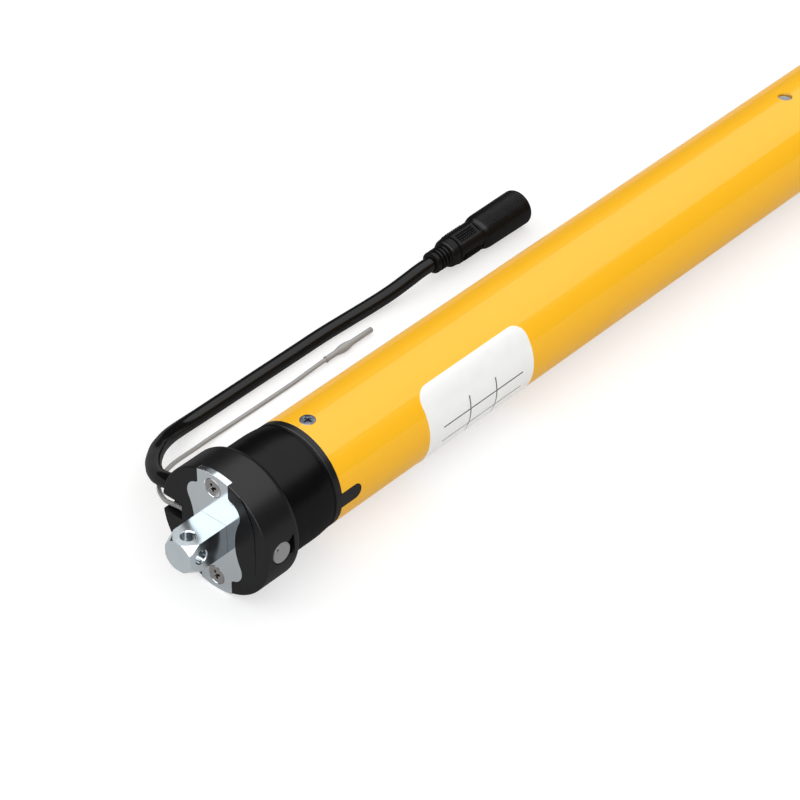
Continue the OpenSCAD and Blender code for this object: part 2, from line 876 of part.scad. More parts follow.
// The button is held from inside by its collar and is pressed along the radius
module setting_button() {
    r = button_d / 2;
    cap_r = flange_r - 0.1;
    color("#8f8f8f")
        outward(face_x + button_inset, 180) {
            translate([0, 0, button_step_r - 1.2])
                cylinder(r = r + 0.9, h = 1.1);
            translate([0, 0, button_step_r - 0.2])
                cylinder(r = r, h = cap_r - 0.7 - button_step_r + 0.2);
            // the shallow dome of the cap
            translate([0, 0, cap_r - 0.7])
                cylinder(r1 = r, r2 = r - 0.5, h = 0.4);
            translate([0, 0, cap_r - 0.3])
                cylinder(r1 = r - 0.5, r2 = r - 1.7, h = 0.3);
        }
}

// Radius of the tact switch's top, under the button
switch_top_r = button_step_r - 1.2 - button_travel - 0.3;

module switch_plunger() {
    color("#d8d8d8")
        outward(face_x + button_inset, 180)
            translate([0, 0, switch_top_r - 1.6])
                cylinder(r = 1.7, h = button_step_r - 1.2 - switch_top_r + 1.6);
}

module tact_switch() {
    size = 5.2;
    height = 3.4;
    color("#3a3a3c")
        outward(face_x + button_inset, 180)
            difference() {
                translate([-size / 2, -size / 2, switch_top_r - height])
                    cube([size, size, height]);
                translate([0, 0, switch_top_r - 1.6 - button_travel - 0.2])
                    cylinder(r = 1.7 + running_fit, h = 4);
            }
}

// The little board slides in two grooves across the head's chamber
module button_board() {
    top_r = switch_top_r - 3.4;
    half = sqrt(pow(chamber_r - push_fit, 2) - pow(top_r, 2));
    color(board_green)
        translate([chamber_x + 0.1, -top_r, -half])
            cube([13, board_t, 2 * half]);
}

module board_carrier() {
    ledge_y = board_w / 2 - 1.2;
    color("#dcdcd6")
        difference() {
            bar(bore_r - running_fit * 2, carrier_x, carrier_x + carrier_len);
            // the tray is open above the board and hollow under it
            translate([carrier_x - over, -tube_r, -board_t])
                cube([carrier_len + 2 * over, tube_d, tube_d]);
            translate([board_x, -ledge_y, -tube_r])
                cube([board_len, 2 * ledge_y, tube_d]);
            translate([board_x - push_fit, -board_w / 2 - push_fit, -board_t - board_t])
                cube([board_len + 2 * push_fit, board_w + 2 * push_fit, tube_d]);
        }
}

module control_board() {
    color(board_green)
        translate([board_x, -board_w / 2, -2 * board_t])
            cube([board_len, board_w, board_t]);
}

// Capacitors, the driver chips, the inductor and the two terminal blocks
module board_parts() {
    top = -board_t;
    color("#26282e") {
        for (x = [20, 32])
            translate([board_x + x, -6, top])
                cylinder(r = 4, h = 11);
        for (x = [44, 56])
            translate([board_x + x, -5, top])
                cube([8, 8, 2.4]);
        translate([board_x + 50, 8.6, top])
            cylinder(r = 3.4, h = 5);
        for (x = [terminal_inset, board_len - terminal_inset - terminal_len])
            translate([board_x + x, -7, top])
                cube([terminal_len, 14, 7]);
    }
}

module radio_module() {
    color("#1f4f8a")
        translate([board_x + 26, 4.5, -board_t])
            cube([15, 1.2, 10]);
}

// Two insulated leads from the gland through the head's chamber to the board's terminals
module supply_leads() {
    z = cable_exit_z;
    y = exit_y - gland_t;
    for (side = [-1, 1])
        color(side < 0 ? "#b02020" : "#202020")
            cord([
                    [exit_x + side * 1.3, y, z],
                    [exit_x + side * 1.3, y - 3, z],
                    [exit_x + 2.4 + side * 1.2, y - 6, z - 0.2 + side * 0.6],
                    [exit_x + 7, y - 7.4, z - 0.6 + side * 1.4],
                    [ring_len / 2, y - 8 + side * 0.3, z - 1 + side * 1.3],
                    [tube_x, y - 8 + side * 0.9, z - 1.4 + side * 0.8],
                    [tube_x + insert_len / 2, 3 + side * 1.2, terminal_z],
                    [carrier_x, 3 + side * 1.3, terminal_z],
                    [board_x + terminal_inset, 3 + side * 1.3, terminal_z]
                ], lead_r, 8);
}

module motor_leads() {
    start = [board_x + board_len - terminal_inset, 3, terminal_z];
    hole = [hall_x - 1, lead_hole_y, lead_hole_z];
    for (side = [-1, 1])
        color(side < 0 ? "#b02020" : "#202020")
            cord([
                    for (share = [[0, 0], [0.2, 0.04], [0.45, 0.4], [0.7, 0.85], [1, 1]])
                        [
                            start[0] + (hole[0] - start[0]) * share[0],
                            side * (start[1] + (hole[1] - start[1]) * share[1]),
                            start[2] + (hole[2] - start[2]) * share[1]
                        ],
                    [cap_x, side * hole[1], hole[2]]
                ], lead_r, 8);
}

motor_front_t = 2;
motor_bush_r = 4;
motor_bush_len = 3;

module motor_can() {
    color(steel)
        difference() {
            bar(motor_r, motor_back, motor_front);
            bar(motor_r - motor_wall, motor_back - over, motor_front - motor_front_t);
            bar(motor_bush_r, motor_front - motor_front_t - 1, motor_front + over);
        }
}

// Rubber rings centre the motor in the tube and keep its noise off it
module motor_dampers() {
    ring_w = 6;
    color("#2b2b2b")
        for (x = [motor_back + 2, motor_front - 2 - ring_w])
            pipe(bore_r - running_fit, motor_r + push_fit, x, x + ring_w);
}

module motor_end_cap() {
    color("#303338")
        difference() {
            union() {
                bar(motor_r, cap_x, motor_back);
                bar(motor_r - motor_wall - push_fit, motor_back - over, motor_back + 3);
            }
            bar(9, cap_x + 3, motor_back + 4);
            bar(motor_bush_r, cap_x - over, motor_back);
            for (side = [-1, 1])
                translate([cap_x + 4.5, side * 2 - (side < 0 ? 10 : 0), -2 - push_fit])
                    cube([7, 10, 4 + 2 * push_fit]);
        }
}

module stator_magnets() {
    arc = 66;
    reach = 2 * tube_d;
    x0 = motor_back + 14;
    color("#3c3c40")
        for (side = [0, 180])
            intersection() {
                pipe(magnet_r, magnet_r - magnet_t, x0, x0 + armature_len + 6);
                along(x0 - over)
                    linear_extrude(armature_len + 8)
                        rotate([0, 0, side])
                            polygon([
                                [0, 0], reach * [cos(arc), -sin(arc)], [reach, 0],
                                reach * [cos(arc), sin(arc)]
                            ]);
            }
}

module motor_bushes() {
    color(bronze) {
        for (x = [cap_x, motor_front - motor_bush_len])
            pipe(motor_bush_r - push_fit, motor_shaft_d / 2 + running_fit, x, x + motor_bush_len);
    }
}

module brushes() {
    color("#4b4742")
        for (side = [-1, 1])
            translate([cap_x + 5, side > 0 ? brush_in : -brush_in - brush_len, -2])
                cube([4, brush_len, 4]);
}

commutator_r = 4;
brush_in = commutator_r + running_fit;
brush_len = 7;
shaft_back = cap_x - 1.6;

module rotor_shaft() {
    color(steel)
        bar(motor_shaft_d / 2, shaft_back, gears_x + end_play + planet_w_1);
}

// Laminated core with slots for the windings
module rotor_core() {
    slots = 5;
    x0 = motor_back + 17;
    r = armature_r;
    color("#8b8f94")
        along(x0)
            linear_extrude(armature_len)
                difference() {
                    circle(r);
                    circle(motor_shaft_d / 2 + push_fit);
                    for (k = [0:slots - 1])
                        rotate([0, 0, 360 * k / slots])
                            union() {
                                translate([r * 0.64, 0])
                                    circle(r * 0.24);
                                translate([r * 0.7, -0.9])
                                    square([r, 1.8]);
                            }
                }
}

// Copper in the slots, with the end turns as one ring at each end of the core
module rotor_windings() {
    slots = 5;
    x0 = motor_back + 17;
    r = armature_r;
    turns_len = 4;
    color(copper) {
        for (k = [0:slots - 1])
            along(x0 - over)
                rotate([0, 0, 360 * k / slots])
                    translate([r * 0.64, 0, 0])
                        cylinder(r = r * 0.24 - push_fit, h = armature_len + 2 * over);
        pipe(r * 0.84, motor_shaft_d / 2 + push_fit, x0 - turns_len, x0);
        pipe(r * 0.84, motor_shaft_d / 2 + push_fit, x0 + armature_len, x0 + armature_len + turns_len);
    }
}

module commutator() {
    bars = 5;
    color(copper)
        along(cap_x + 4)
            linear_extrude(8)
                difference() {
                    circle(commutator_r);
                    circle(motor_shaft_d / 2 + push_fit);
                    for (k = [0:bars - 1])
                        rotate([0, 0, 360 * k / bars])
                            translate([commutator_r - 0.7, -0.25])
                                square([2, 0.5]);
                }
}

module encoder_magnet() {
    color("#5a5a5e")
        difference() {
            bar(4.5, shaft_back + 0.2, cap_x - 0.4);
            bar(motor_shaft_d / 2 + push_fit, shaft_back - 1, cap_x);
        }
}

module hall_board() {
    r = motor_r - 1;
    post_r = 1.2;
    color(board_green) {
        difference() {
            bar(r, hall_x, hall_x + board_t);
            for (side = [-1, 1])
                translate([hall_x - 1, side * lead_hole_y, lead_hole_z])
                    rotate([0, 90, 0])
                        cylinder(r = 2 * lead_r, h = 4);
        }
        for (z = [-1, 1])
            translate([0, 0, z * (r - 2)])
                bar(post_r, hall_x + board_t - over, cap_x);
    }
}

brake_wall = 3.5;
coil_len = 8;

// Electromagnetic brake: a fixed coil pot and a disc that turns with the motor shaft
module brake_coil() {
    color("#54585e")
        difference() {
            bar(motor_r, motor_front, input_x);
            bar(motor_r - brake_wall, motor_front + coil_len, input_x + over);
            bar(motor_shaft_d / 2 + 0.6, motor_front - over, input_x);
        }
}

module brake_disc() {
    color("#777b80")
        pipe(motor_r - brake_wall - 1.4, motor_shaft_d / 2 + push_fit, motor_front + coil_len + end_play,
            motor_front + coil_len + end_play + 2.7);
}

module sun_pinion() {
    color(steel)
        difference() {
            along(gears_x + end_play)
                gear(sun_teeth, planet_w_1, true);
            bar(motor_shaft_d / 2 + push_fit, gears_x - over, gears_x + end_play + planet_w_1 + over);
        }
}

module input_flange() {
    color("#8f9499")
        difference() {
            bar(insert_r, input_x, gears_x);
            bar(sun_pitch_r + addendum, input_x - over, gears_x + over);
            for (angle = [90, 270])
                outward(window_x, angle)
                    translate([0, 0, bore_r - 5])
                        cylinder(r = gear_pin_r + push_fit, h = 10);
        }
}

gear_pin_r = pin_window_d / 2 - 0.15;

// Bright dowels through the tube's windows into the input flange
module gearbox_pins() {
    color(zinc)
        for (angle = [90, 270])
            outward(window_x, angle)
                translate([0, 0, bore_r - 5 + push_fit])
                    cylinder(r = gear_pin_r, h = 5 + 0.3);
}

module ring_gear() {
    void_in = ring_pitch_r - addendum;
    void_out = ring_pitch_r + dedendum;
    color("#7d8288")
        difference() {
            bar(insert_r, gears_x, bearing_x);
            along(gears_x - over)
                linear_extrude(gears_len + 2 * over)
                    polygon(gear_points(ring_teeth, void_in, void_out, -flank_gap));
        }
}

// One planet of a stage, at its place around the sun
module planet(stage, index) {
    angle = 360 * index / planets;
    pin_d = stage == 2 ? last_planet_pin_d : planet_pin_d;
    x = stage_x[stage] + end_play;
    color("#a9adb1")
        translate([0, centre_r * cos(angle), centre_r * sin(angle)])
            difference() {
                along(x)
                    gear(planet_teeth, planet_w[stage]);
                bar(pin_d / 2 + running_fit, x - over, x + planet_w[stage] + over);
            }
}

module planet_1a() planet(0, 0);
module planet_1b() planet(0, 1);
module planet_1c() planet(0, 2);
module planet_2a() planet(1, 0);
module planet_2b() planet(1, 1);
module planet_2c() planet(1, 2);
module planet_3a() planet(2, 0);
module planet_3b() planet(2, 1);
module planet_3c() planet(2, 2);

// The disc of a stage with its planet pins
module disc_and_pins(stage) {
    pin_d = stage == 2 ? last_planet_pin_d : planet_pin_d;
    x = stage_x[stage] + end_play;
    disc_x = x + planet_w[stage] + end_play;
    bar(disc_r, disc_x, disc_x + disc_t[stage]);
    for (k = [0:planets - 1])
        translate([0, centre_r * cos(360 * k / planets), centre_r * sin(360 * k / planets)])
            bar(pin_d / 2, x, disc_x + over);
}

// A carrier with the next stage's sun on its other side
module carrier(stage) {
    sun_x = stage_x[stage] + stage_len[stage];
    color("#94989d") {
        disc_and_pins(stage);
        along(sun_x - over)
            gear(sun_teeth, end_play + planet_w[stage + 1] + over, true);
    }
}

module carrier_1() carrier(0);
module carrier_2() carrier(1);

// The journal turns in the bushes, a relief parts it from the round seat of the drive wheel,
// and the flats that turn the wheel are on a slightly thinner end
module output_shaft() {
    shaft_end = bearing_end + shaft_out;
    flats_x = shaft_end - flats_len;
    flats_r = shaft_r - 0.2;
    tip = 0.8;
    journal_end = bearing_end + 0.3;
    seat_x = journal_end + 0.8;
    groove_w = 1.1;
    groove_t = 0.6;
    groove_x = shaft_end - 3;
    color(steel)
        difference() {
            union() {
                disc_and_pins(2);
                bar(journal_r, stage_x[2] + stage_len[2] - over, journal_end);
                bar(shaft_r - 0.4, journal_end - over, seat_x + over);
                bar(shaft_r, seat_x, flats_x);
                bar(flats_r, flats_x - over, shaft_end - tip);
                along(shaft_end - tip)
                    cylinder(r1 = flats_r, r2 = flats_r - tip, h = tip);
            }
            for (side = [0, 180])
                rotate([side, 0, 0])
                    translate([flats_x, -shaft_d, flats_w / 2])
                        cube([flats_len + 1, 2 * shaft_d, shaft_d]);
            pipe(shaft_r + 1, flats_r - groove_t, groove_x, groove_x + groove_w);
        }
}

module thrust_washer() {
    color(bronze)
        pipe(disc_r - 2, journal_r + 0.4, bearing_x - washer_t - push_fit, bearing_x - push_fit);
}

bush_len = 8;
bush_r = journal_r + 1.5;

module end_bearing() {
    edge = 0.5;
    color("#8f9499")
        difference() {
            union() {
                bar(insert_r, bearing_x, tube_end + over);
                along(tube_end)
                    rotate_extrude()
                        polygon([
                            [0, 0], [tube_r, 0], [tube_r, bearing_rim - edge], [tube_r - edge, bearing_rim],
                            [0, bearing_rim]
                        ]);
            }
            bar(journal_r + 0.5, bearing_x - over, bearing_end + over);
            bar(bush_r + push_fit, bearing_x - over, bearing_x + bush_len);
            bar(bush_r + push_fit, bearing_end - bush_len, bearing_end + over);
            at_tube_screws([end_screw_x])
                screw_hole(tube_screw);
        }
}

module output_bushes() {
    color(bronze)
        for (x = [bearing_x, bearing_end - bush_len + push_fit])
            pipe(bush_r, journal_r + running_fit, x, x + bush_len - push_fit);
}

tube();
head_housing();
collar_insert();
mounting_plate();
square_pin();
plate_screws();
tube_screws();
rating_label();
cable_gland();
power_cable();
connector_body();
connector_contacts();
aerial_wire();
aerial_sleeve();
idler_ring();
setting_button();
switch_plunger();
button_board();
tact_switch();
board_carrier();
control_board();
board_parts();
radio_module();
supply_leads();
motor_leads();
motor_can();
motor_dampers();
motor_end_cap();
stator_magnets();
motor_bushes();
brushes();
rotor_shaft();
rotor_core();
rotor_windings();
commutator();
encoder_magnet();
hall_board();
brake_coil();
brake_disc();
sun_pinion();
input_flange();
gearbox_pins();
ring_gear();
planet_1a();
planet_1b();
planet_1c();
carrier_1();
planet_2a();
planet_2b();
planet_2c();
carrier_2();
planet_3a();
planet_3b();
planet_3c();
output_shaft();
thrust_washer();
end_bearing();
output_bushes();
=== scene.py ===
import math

import bmesh
import bpy
from mathutils import Matrix, Vector


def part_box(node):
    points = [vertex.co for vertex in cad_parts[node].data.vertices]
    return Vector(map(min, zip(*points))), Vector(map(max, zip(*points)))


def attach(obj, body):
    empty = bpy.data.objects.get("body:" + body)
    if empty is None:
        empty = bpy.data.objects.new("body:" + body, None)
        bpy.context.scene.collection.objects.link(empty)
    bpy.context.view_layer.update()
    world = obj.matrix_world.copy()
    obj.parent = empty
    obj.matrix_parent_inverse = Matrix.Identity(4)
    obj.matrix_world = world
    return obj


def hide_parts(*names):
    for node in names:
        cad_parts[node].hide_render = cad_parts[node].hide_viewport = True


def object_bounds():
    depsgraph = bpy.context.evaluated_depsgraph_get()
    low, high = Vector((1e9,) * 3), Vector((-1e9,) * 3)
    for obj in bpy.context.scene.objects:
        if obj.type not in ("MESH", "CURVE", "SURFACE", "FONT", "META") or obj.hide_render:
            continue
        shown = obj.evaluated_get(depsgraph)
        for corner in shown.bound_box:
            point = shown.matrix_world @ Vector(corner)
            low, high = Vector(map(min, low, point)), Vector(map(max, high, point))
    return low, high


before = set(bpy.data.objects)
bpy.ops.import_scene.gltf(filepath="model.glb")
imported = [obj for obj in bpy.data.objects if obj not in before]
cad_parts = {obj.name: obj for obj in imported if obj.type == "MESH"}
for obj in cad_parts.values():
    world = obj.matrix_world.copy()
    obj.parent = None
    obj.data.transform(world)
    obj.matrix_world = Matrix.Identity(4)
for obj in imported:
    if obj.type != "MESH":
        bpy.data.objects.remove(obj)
cad_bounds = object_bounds()

mm = 0.001
scene = bpy.context.scene
scene.view_settings.view_transform = "Standard"

# Sizes taken from the frame's pieces
tube_start, tube_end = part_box("tube")[0].x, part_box("tube")[1].x
tube_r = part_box("tube")[1].z
flange_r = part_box("head_housing")[1].z
face_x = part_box("head_housing")[0].x
plate_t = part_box("mounting_plate")[1].x - face_x
pin_tip_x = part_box("square_pin")[0].x
ring_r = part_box("idler_ring")[1].z
ring_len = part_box("idler_ring")[1].x
collar_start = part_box("collar_insert")[0].x
button_x = (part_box("setting_button")[0].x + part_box("setting_button")[1].x) / 2
floor_z = cad_bounds[0][2]

# Sizes of the head and what sits in it
neck_r = 15 * mm
chamber_r = 11.5 * mm
chamber_x = -11.4 * mm
spigot_r = 12.9 * mm
spigot_end = 32.75 * mm
insert_end = 42 * mm
flange_round = 0.7 * mm
flange_rear_round = 2.8 * mm
seam = 0.05 * mm
lobe_r = 4.6 * mm
lobe_y = 5.7 * mm
lobe_z = 10.2 * mm
waist_w = 16 * mm
lug_w = 12 * mm
shoulder_r = 1.2 * mm
plate_screw_z = 16 * mm
shank_w = 8 * mm
pin_w = 10 * mm
pin_chamfer_len = 3.8 * mm
tip_r = 5.2 * mm
cross_d = 4.2 * mm
cross_inset = 4.4 * mm
button_d = 6.8 * mm

# Where the cords leave the head, and the passage they leave by
exit_x = -8.4 * mm
exit_y = 15 * mm
exit_z = 3.2 * mm
passage_w = 6 * mm
passage_low = -2.8 * mm
passage_high = 6.4 * mm
notch_y = 13 * mm
notch_top = 3 * mm

# The tube's wall, and the places of its holes, key and label
tube_wall = 1.2 * mm
screw_x = tube_start + 4.6 * mm
end_screw_x = tube_end - 8 * mm
window_x = 255.2 * mm
window_d = 5 * mm
key_w = 5 * mm
key_len = 8.2 * mm
key_angle = 181.3
label_start = 58.2 * mm
label_end = 105.7 * mm
label_w = 37.6 * mm
label_angle = 190.5

# The drive end
insert_r = 16.25 * mm
journal_r = 6.5 * mm
bush_r = 8 * mm
bush_len = 8 * mm

# The cords' routes, in millimetres, as the part has them
cable_d = 5 * mm
cable_route = [
    (-8.4, 15, 3.2), (-8.4, 18.5, 3.2), (-8.3, 22.3, 2.2), (-7.6, 26.5, 0.5), (-6.1, 30.7, -1.5),
    (-3.7, 34.8, -3.5), (-0.7, 38.6, -5.5), (3, 42.5, -7.6), (7.1, 46.1, -9.8), (11.6, 49.5, -11.7),
    (16.3, 52.3, -13.6), (21.2, 54.5, -15.2), (26.3, 56.1, -16.7), (31.5, 57, -17.7),
    (37, 57.4, -18.2), (44.5, 57.6, -18.4), (56.6, 57.6, -18.4), (68.6, 57.6, -18.4),
    (80.6, 57.6, -18.4), (92.6, 57.6, -18.4), (103.6, 57.2, -18.4), (113.6, 56.3, -17.9),
    (122.6, 55.2, -16.8), (130, 54.5, -15.5), (135.4, 54.2, -14.7), (140.4, 54.2, -14.7),
]
aerial_d = 1.4 * mm
aerial_route = [
    (-12.7, 13.6, -0.7), (-12.7, 15.4, -0.7), (-12.6, 17.4, -1), (-12.4, 19.8, -1.6),
    (-11.7, 22.4, -2.6), (-10.1, 25.6, -3.8), (-7.8, 29.1, -5.1), (-5, 32.2, -6.4), (-1.6, 35.1, -7.9),
    (2.4, 37.9, -9.6), (7, 40.5, -11.6), (11.9, 42.9, -13.7), (17.8, 45.2, -16.1), (23.9, 47, -18.1),
    (32.1, 48.5, -19.6), (42.6, 49, -20.2), (52.6, 49, -20.2), (62.6, 49, -20.2), (70.7, 49, -20.1),
    (77.7, 49, -19.7), (82.7, 49, -19.45), (85.7, 49, -19.45),
]
plug_at = Vector((140.4, 54.2, -14.7)) * mm
sleeve_at = Vector((84.7, 49, -19.45)) * mm


# Camera, at the angle of the photograph
camera_at = (-0.5115, -0.5122, 0.5986)
camera_turn, camera_drop = math.radians(41.6404), math.radians(37.7637)
camera_lens = 147.45


def add_camera():
    turn, drop = camera_turn, camera_drop
    ahead = Vector((math.cos(turn) * math.cos(drop), math.sin(turn) * math.cos(drop), -math.sin(drop)))
    data = bpy.data.cameras.new("camera")
    data.lens = camera_lens
    data.sensor_width = 36
    camera = bpy.data.objects.new("camera", data)
    camera.location = camera_at
    camera.rotation_euler = ahead.to_track_quat("-Z", "Y").to_euler()
    scene.collection.objects.link(camera)
    scene.camera = camera


# Shaders

def linear(colour):
    """A colour written as 0 to 255 in sRGB, as the linear values that a shader takes."""
    parts = [c / 255 for c in colour]
    return [c / 12.92 if c <= 0.04045 else ((c + 0.055) / 1.055) ** 2.4 for c in parts] + [1.0]


def node(tree, kind, **settings):
    made = tree.nodes.new(kind)
    for name, value in settings.items():
        setattr(made, name, value)
    return made


def object_coords(tree, stretch=(1, 1, 1)):
    """Object coordinates, stretched along the axes."""
    coords = node(tree, "ShaderNodeTexCoord")
    mapping = node(tree, "ShaderNodeMapping")
    mapping.inputs["Scale"].default_value = stretch
    tree.links.new(coords.outputs["Object"], mapping.inputs["Vector"])
    return mapping.outputs["Vector"]


def noise(tree, scale, stretch=(1, 1, 1)):
    made = node(tree, "ShaderNodeTexNoise")
    made.inputs["Scale"].default_value = scale
    made.inputs["Detail"].default_value = 3
    tree.links.new(object_coords(tree, stretch), made.inputs["Vector"])
    return made.outputs["Fac"]


def spread_over(tree, factor, low, high):
    """A factor that runs from 0.3 to 0.7, as noise does, spread from low to high."""
    made = node(tree, "ShaderNodeMapRange")
    made.inputs["From Min"].default_value = 0.3
    made.inputs["From Max"].default_value = 0.7
    made.inputs["To Min"].default_value = low
    made.inputs["To Max"].default_value = high
    tree.links.new(factor, made.inputs["Value"])
    return made.outputs["Result"]


def blended(tree, factor, colour_a, colour_b):
    """A colour between two, each of them a socket or an sRGB colour."""
    mix = node(tree, "ShaderNodeMix", data_type="RGBA")
    for socket, colour in ((mix.inputs[6], colour_a), (mix.inputs[7], colour_b)):
        if isinstance(colour, bpy.types.NodeSocket):
            tree.links.new(colour, socket)
        else:
            socket.default_value = linear(colour)
    tree.links.new(factor, mix.inputs[0])
    return mix.outputs[2]


def bumped(tree, shader, height, depth):
    bump = node(tree, "ShaderNodeBump")
    bump.inputs["Strength"].default_value = 1
    bump.inputs["Distance"].default_value = depth
    tree.links.new(height, bump.inputs["Height"])
    tree.links.new(bump.outputs["Normal"], shader.inputs["Normal"])


def shader_for(name, **settings):
    """A new material with one Principled shader, whose plain values are set on its own sockets."""
    material = bpy.data.materials.new(name)
    material.use_nodes = True
    shader = material.node_tree.nodes["Principled BSDF"]
    for socket, value in settings.items():
        shader.inputs[socket.replace("_", " ")].default_value = value
    return material, material.node_tree, shader


def surface(name, light, dark, rough, grain_size, depth, stretch=(1, 1, 1), **settings):
    """A finish whose colour, roughness and fine relief all vary over the surface."""
    material, tree, shader = shader_for(name, **settings)
    tone = noise(tree, 1 / (20 * grain_size), stretch)
    grain = noise(tree, 1 / grain_size, stretch)
    tree.links.new(blended(tree, tone, dark, light), shader.inputs["Base Color"])
    tree.links.new(spread_over(tree, tone, rough * 0.85, rough * 1.15), shader.inputs["Roughness"])
    bumped(tree, shader, grain, depth)
    return material


def tube_lacquer():
    """Glossy lacquer over a smooth tube, with a faint orange peel in the clear coat."""
    return surface(
        "tube_lacquer", (255, 191, 35), (254, 188, 33), 0.4, 1.6 * mm, 0.0008 * mm,
        Specular_IOR_Level=0.05, Coat_Weight=0.1, Coat_Roughness=0.03, Coat_IOR=2.3,
    )


def head_plastic():
    return surface(
        "head_plastic", (24, 24, 25), (20, 20, 21), 0.32, 0.25 * mm, 0.001 * mm,
        Specular_IOR_Level=0.0, Coat_Weight=0.13, Coat_Roughness=0.3, Coat_IOR=2.0,
    )


def ring_plastic():
    return surface(
        "ring_plastic", (10, 10, 11), (7, 7, 8), 0.28, 0.3 * mm, 0.001 * mm,
        Specular_IOR_Level=0.0, Coat_Weight=0.07, Coat_Roughness=0.28, Coat_IOR=2.0,
    )


def plated_steel():
    """Zinc plating polished by rolling, with faint streaks along the plate."""
    return surface(
        "plated_steel", (160, 165, 168), (152, 157, 161), 0.14, 0.4 * mm, 0.0008 * mm,
        stretch=(1, 1, 0.15), Metallic=1.0,
    )


def pin_steel():
    """Plated bar steel, brushed along the pin."""
    return surface(
        "pin_steel", (168, 175, 179), (158, 165, 169), 0.2, 0.25 * mm, 0.001 * mm,
        stretch=(0.12, 1, 1), Metallic=1.0,
    )


def dark_screw():
    return surface(
        "dark_screw", (128, 126, 125), (112, 110, 109), 0.26, 0.2 * mm, 0.002 * mm, Metallic=1.0,
    )


def blued_screw():
    return surface(
        "blued_screw", (94, 99, 110), (76, 81, 92), 0.26, 0.2 * mm, 0.002 * mm, Metallic=1.0,
    )


# Ruled table on the label, in millimetres from the label's corner, round the tube and along it
lines_along = (15.2, 20.9)
lines_round = (18.3, 30.2)
line_half_w = 0.25
table_middle_along, table_half_len = 24.3, 18.1
table_middle_round, table_half_w = 17.8, 7.2


def label_film():
    """White film with thin ruled lines, drawn on the label's own sheet, where u goes round and v along."""
    material, tree, shader = shader_for("label_film", Coat_Weight=0.5, Coat_Roughness=0.12)
    sheet = node(tree, "ShaderNodeUVMap", uv_map="sheet")
    parts = node(tree, "ShaderNodeSeparateXYZ")
    tree.links.new(sheet.outputs["UV"], parts.inputs["Vector"])

    def near(value, place, half):
        made = node(tree, "ShaderNodeMath", operation="COMPARE")
        tree.links.new(value, made.inputs[0])
        made.inputs[1].default_value = place
        made.inputs[2].default_value = half
        return made.outputs["Value"]

    def both(a, b, operation):
        made = node(tree, "ShaderNodeMath", operation=operation)
        tree.links.new(a, made.inputs[0])
        tree.links.new(b, made.inputs[1])
        return made.outputs["Value"]

    round_way, along_way = parts.outputs["X"], parts.outputs["Y"]
    ink = None
    in_length = near(along_way, table_middle_along, table_half_len)
    in_width = near(round_way, table_middle_round, table_half_w)
    for place in lines_along:
        line = both(near(round_way, place, line_half_w), in_length, "MULTIPLY")
        ink = line if ink is None else both(ink, line, "MAXIMUM")
    for place in lines_round:
        line = both(near(along_way, place, line_half_w), in_width, "MULTIPLY")
        ink = both(ink, line, "MAXIMUM")
    tone = noise(tree, 300)
    film = blended(tree, tone, (243, 243, 241), (250, 250, 248))
    tree.links.new(blended(tree, ink, film, (32, 32, 36)), shader.inputs["Base Color"])
    tree.links.new(spread_over(tree, tone, 0.32, 0.42), shader.inputs["Roughness"])
    bumped(tree, shader, noise(tree, 4000), 0.002 * mm)
    return material


def gland_rubber():
    return surface(
        "gland_rubber", (24, 24, 25), (15, 15, 16), 0.5, 0.3 * mm, 0.01 * mm, Specular_IOR_Level=0.4,
    )


def cable_jacket():
    """Soft black sheath with faint drawing marks along it."""
    return surface(
        "cable_jacket", (18, 18, 19), (13, 13, 14), 0.12, 0.6 * mm, 0.0005 * mm,
        Specular_IOR_Level=0.0, Coat_Weight=0.12, Coat_Roughness=0.12, Coat_IOR=2.0,
    )


def connector_plastic():
    return surface(
        "connector_plastic", (22, 22, 23), (16, 16, 17), 0.26, 0.22 * mm, 0.001 * mm,
        Specular_IOR_Level=0.0, Coat_Weight=0.07, Coat_Roughness=0.26, Coat_IOR=2.0,
    )


def contact_metal():
    return surface(
        "contact_metal", (226, 220, 205), (200, 192, 176), 0.2, 0.2 * mm, 0.001 * mm, Metallic=1.0,
    )


def aerial_jacket():
    return surface(
        "aerial_jacket", (168, 168, 167), (154, 154, 154), 0.4, 0.3 * mm, 0.003 * mm,
        Specular_IOR_Level=0.3,
    )


def button_plastic():
    return surface(
        "button_plastic", (136, 136, 137), (124, 124, 126), 0.42, 0.2 * mm, 0.006 * mm,
        Specular_IOR_Level=0.4,
    )


def white_plastic():
    return surface("white_plastic", (226, 226, 220), (214, 214, 208), 0.45, 0.4 * mm, 0.006 * mm)


def circuit_green():
    return surface("circuit_green", (44, 108, 62), (30, 88, 50), 0.3, 0.5 * mm, 0.004 * mm)


def component_black():
    return surface("component_black", (44, 46, 52), (30, 32, 36), 0.4, 0.3 * mm, 0.006 * mm)


def radio_blue():
    return surface("radio_blue", (36, 86, 150), (26, 72, 132), 0.35, 0.4 * mm, 0.004 * mm)


def lead_insulation():
    return surface("lead_insulation", (176, 36, 32), (150, 26, 24), 0.35, 0.3 * mm, 0.003 * mm)


def motor_steel():
    return surface(
        "motor_steel", (176, 180, 184), (158, 162, 167), 0.28, 0.4 * mm, 0.002 * mm,
        stretch=(1, 0.2, 0.2), Metallic=1.0,
    )


def ferrite():
    return surface("ferrite", (66, 66, 70), (50, 50, 54), 0.6, 0.3 * mm, 0.01 * mm)


def bronze():
    return surface(
        "bronze", (186, 150, 96), (164, 128, 78), 0.35, 0.25 * mm, 0.004 * mm, Metallic=1.0,
    )


def carbon():
    return surface("carbon", (64, 62, 60), (46, 44, 42), 0.5, 0.25 * mm, 0.006 * mm)


def shaft_steel():
    return surface(
        "shaft_steel", (204, 207, 210), (184, 188, 192), 0.2, 0.3 * mm, 0.0015 * mm,
        stretch=(1, 0.15, 0.15), Metallic=1.0,
    )


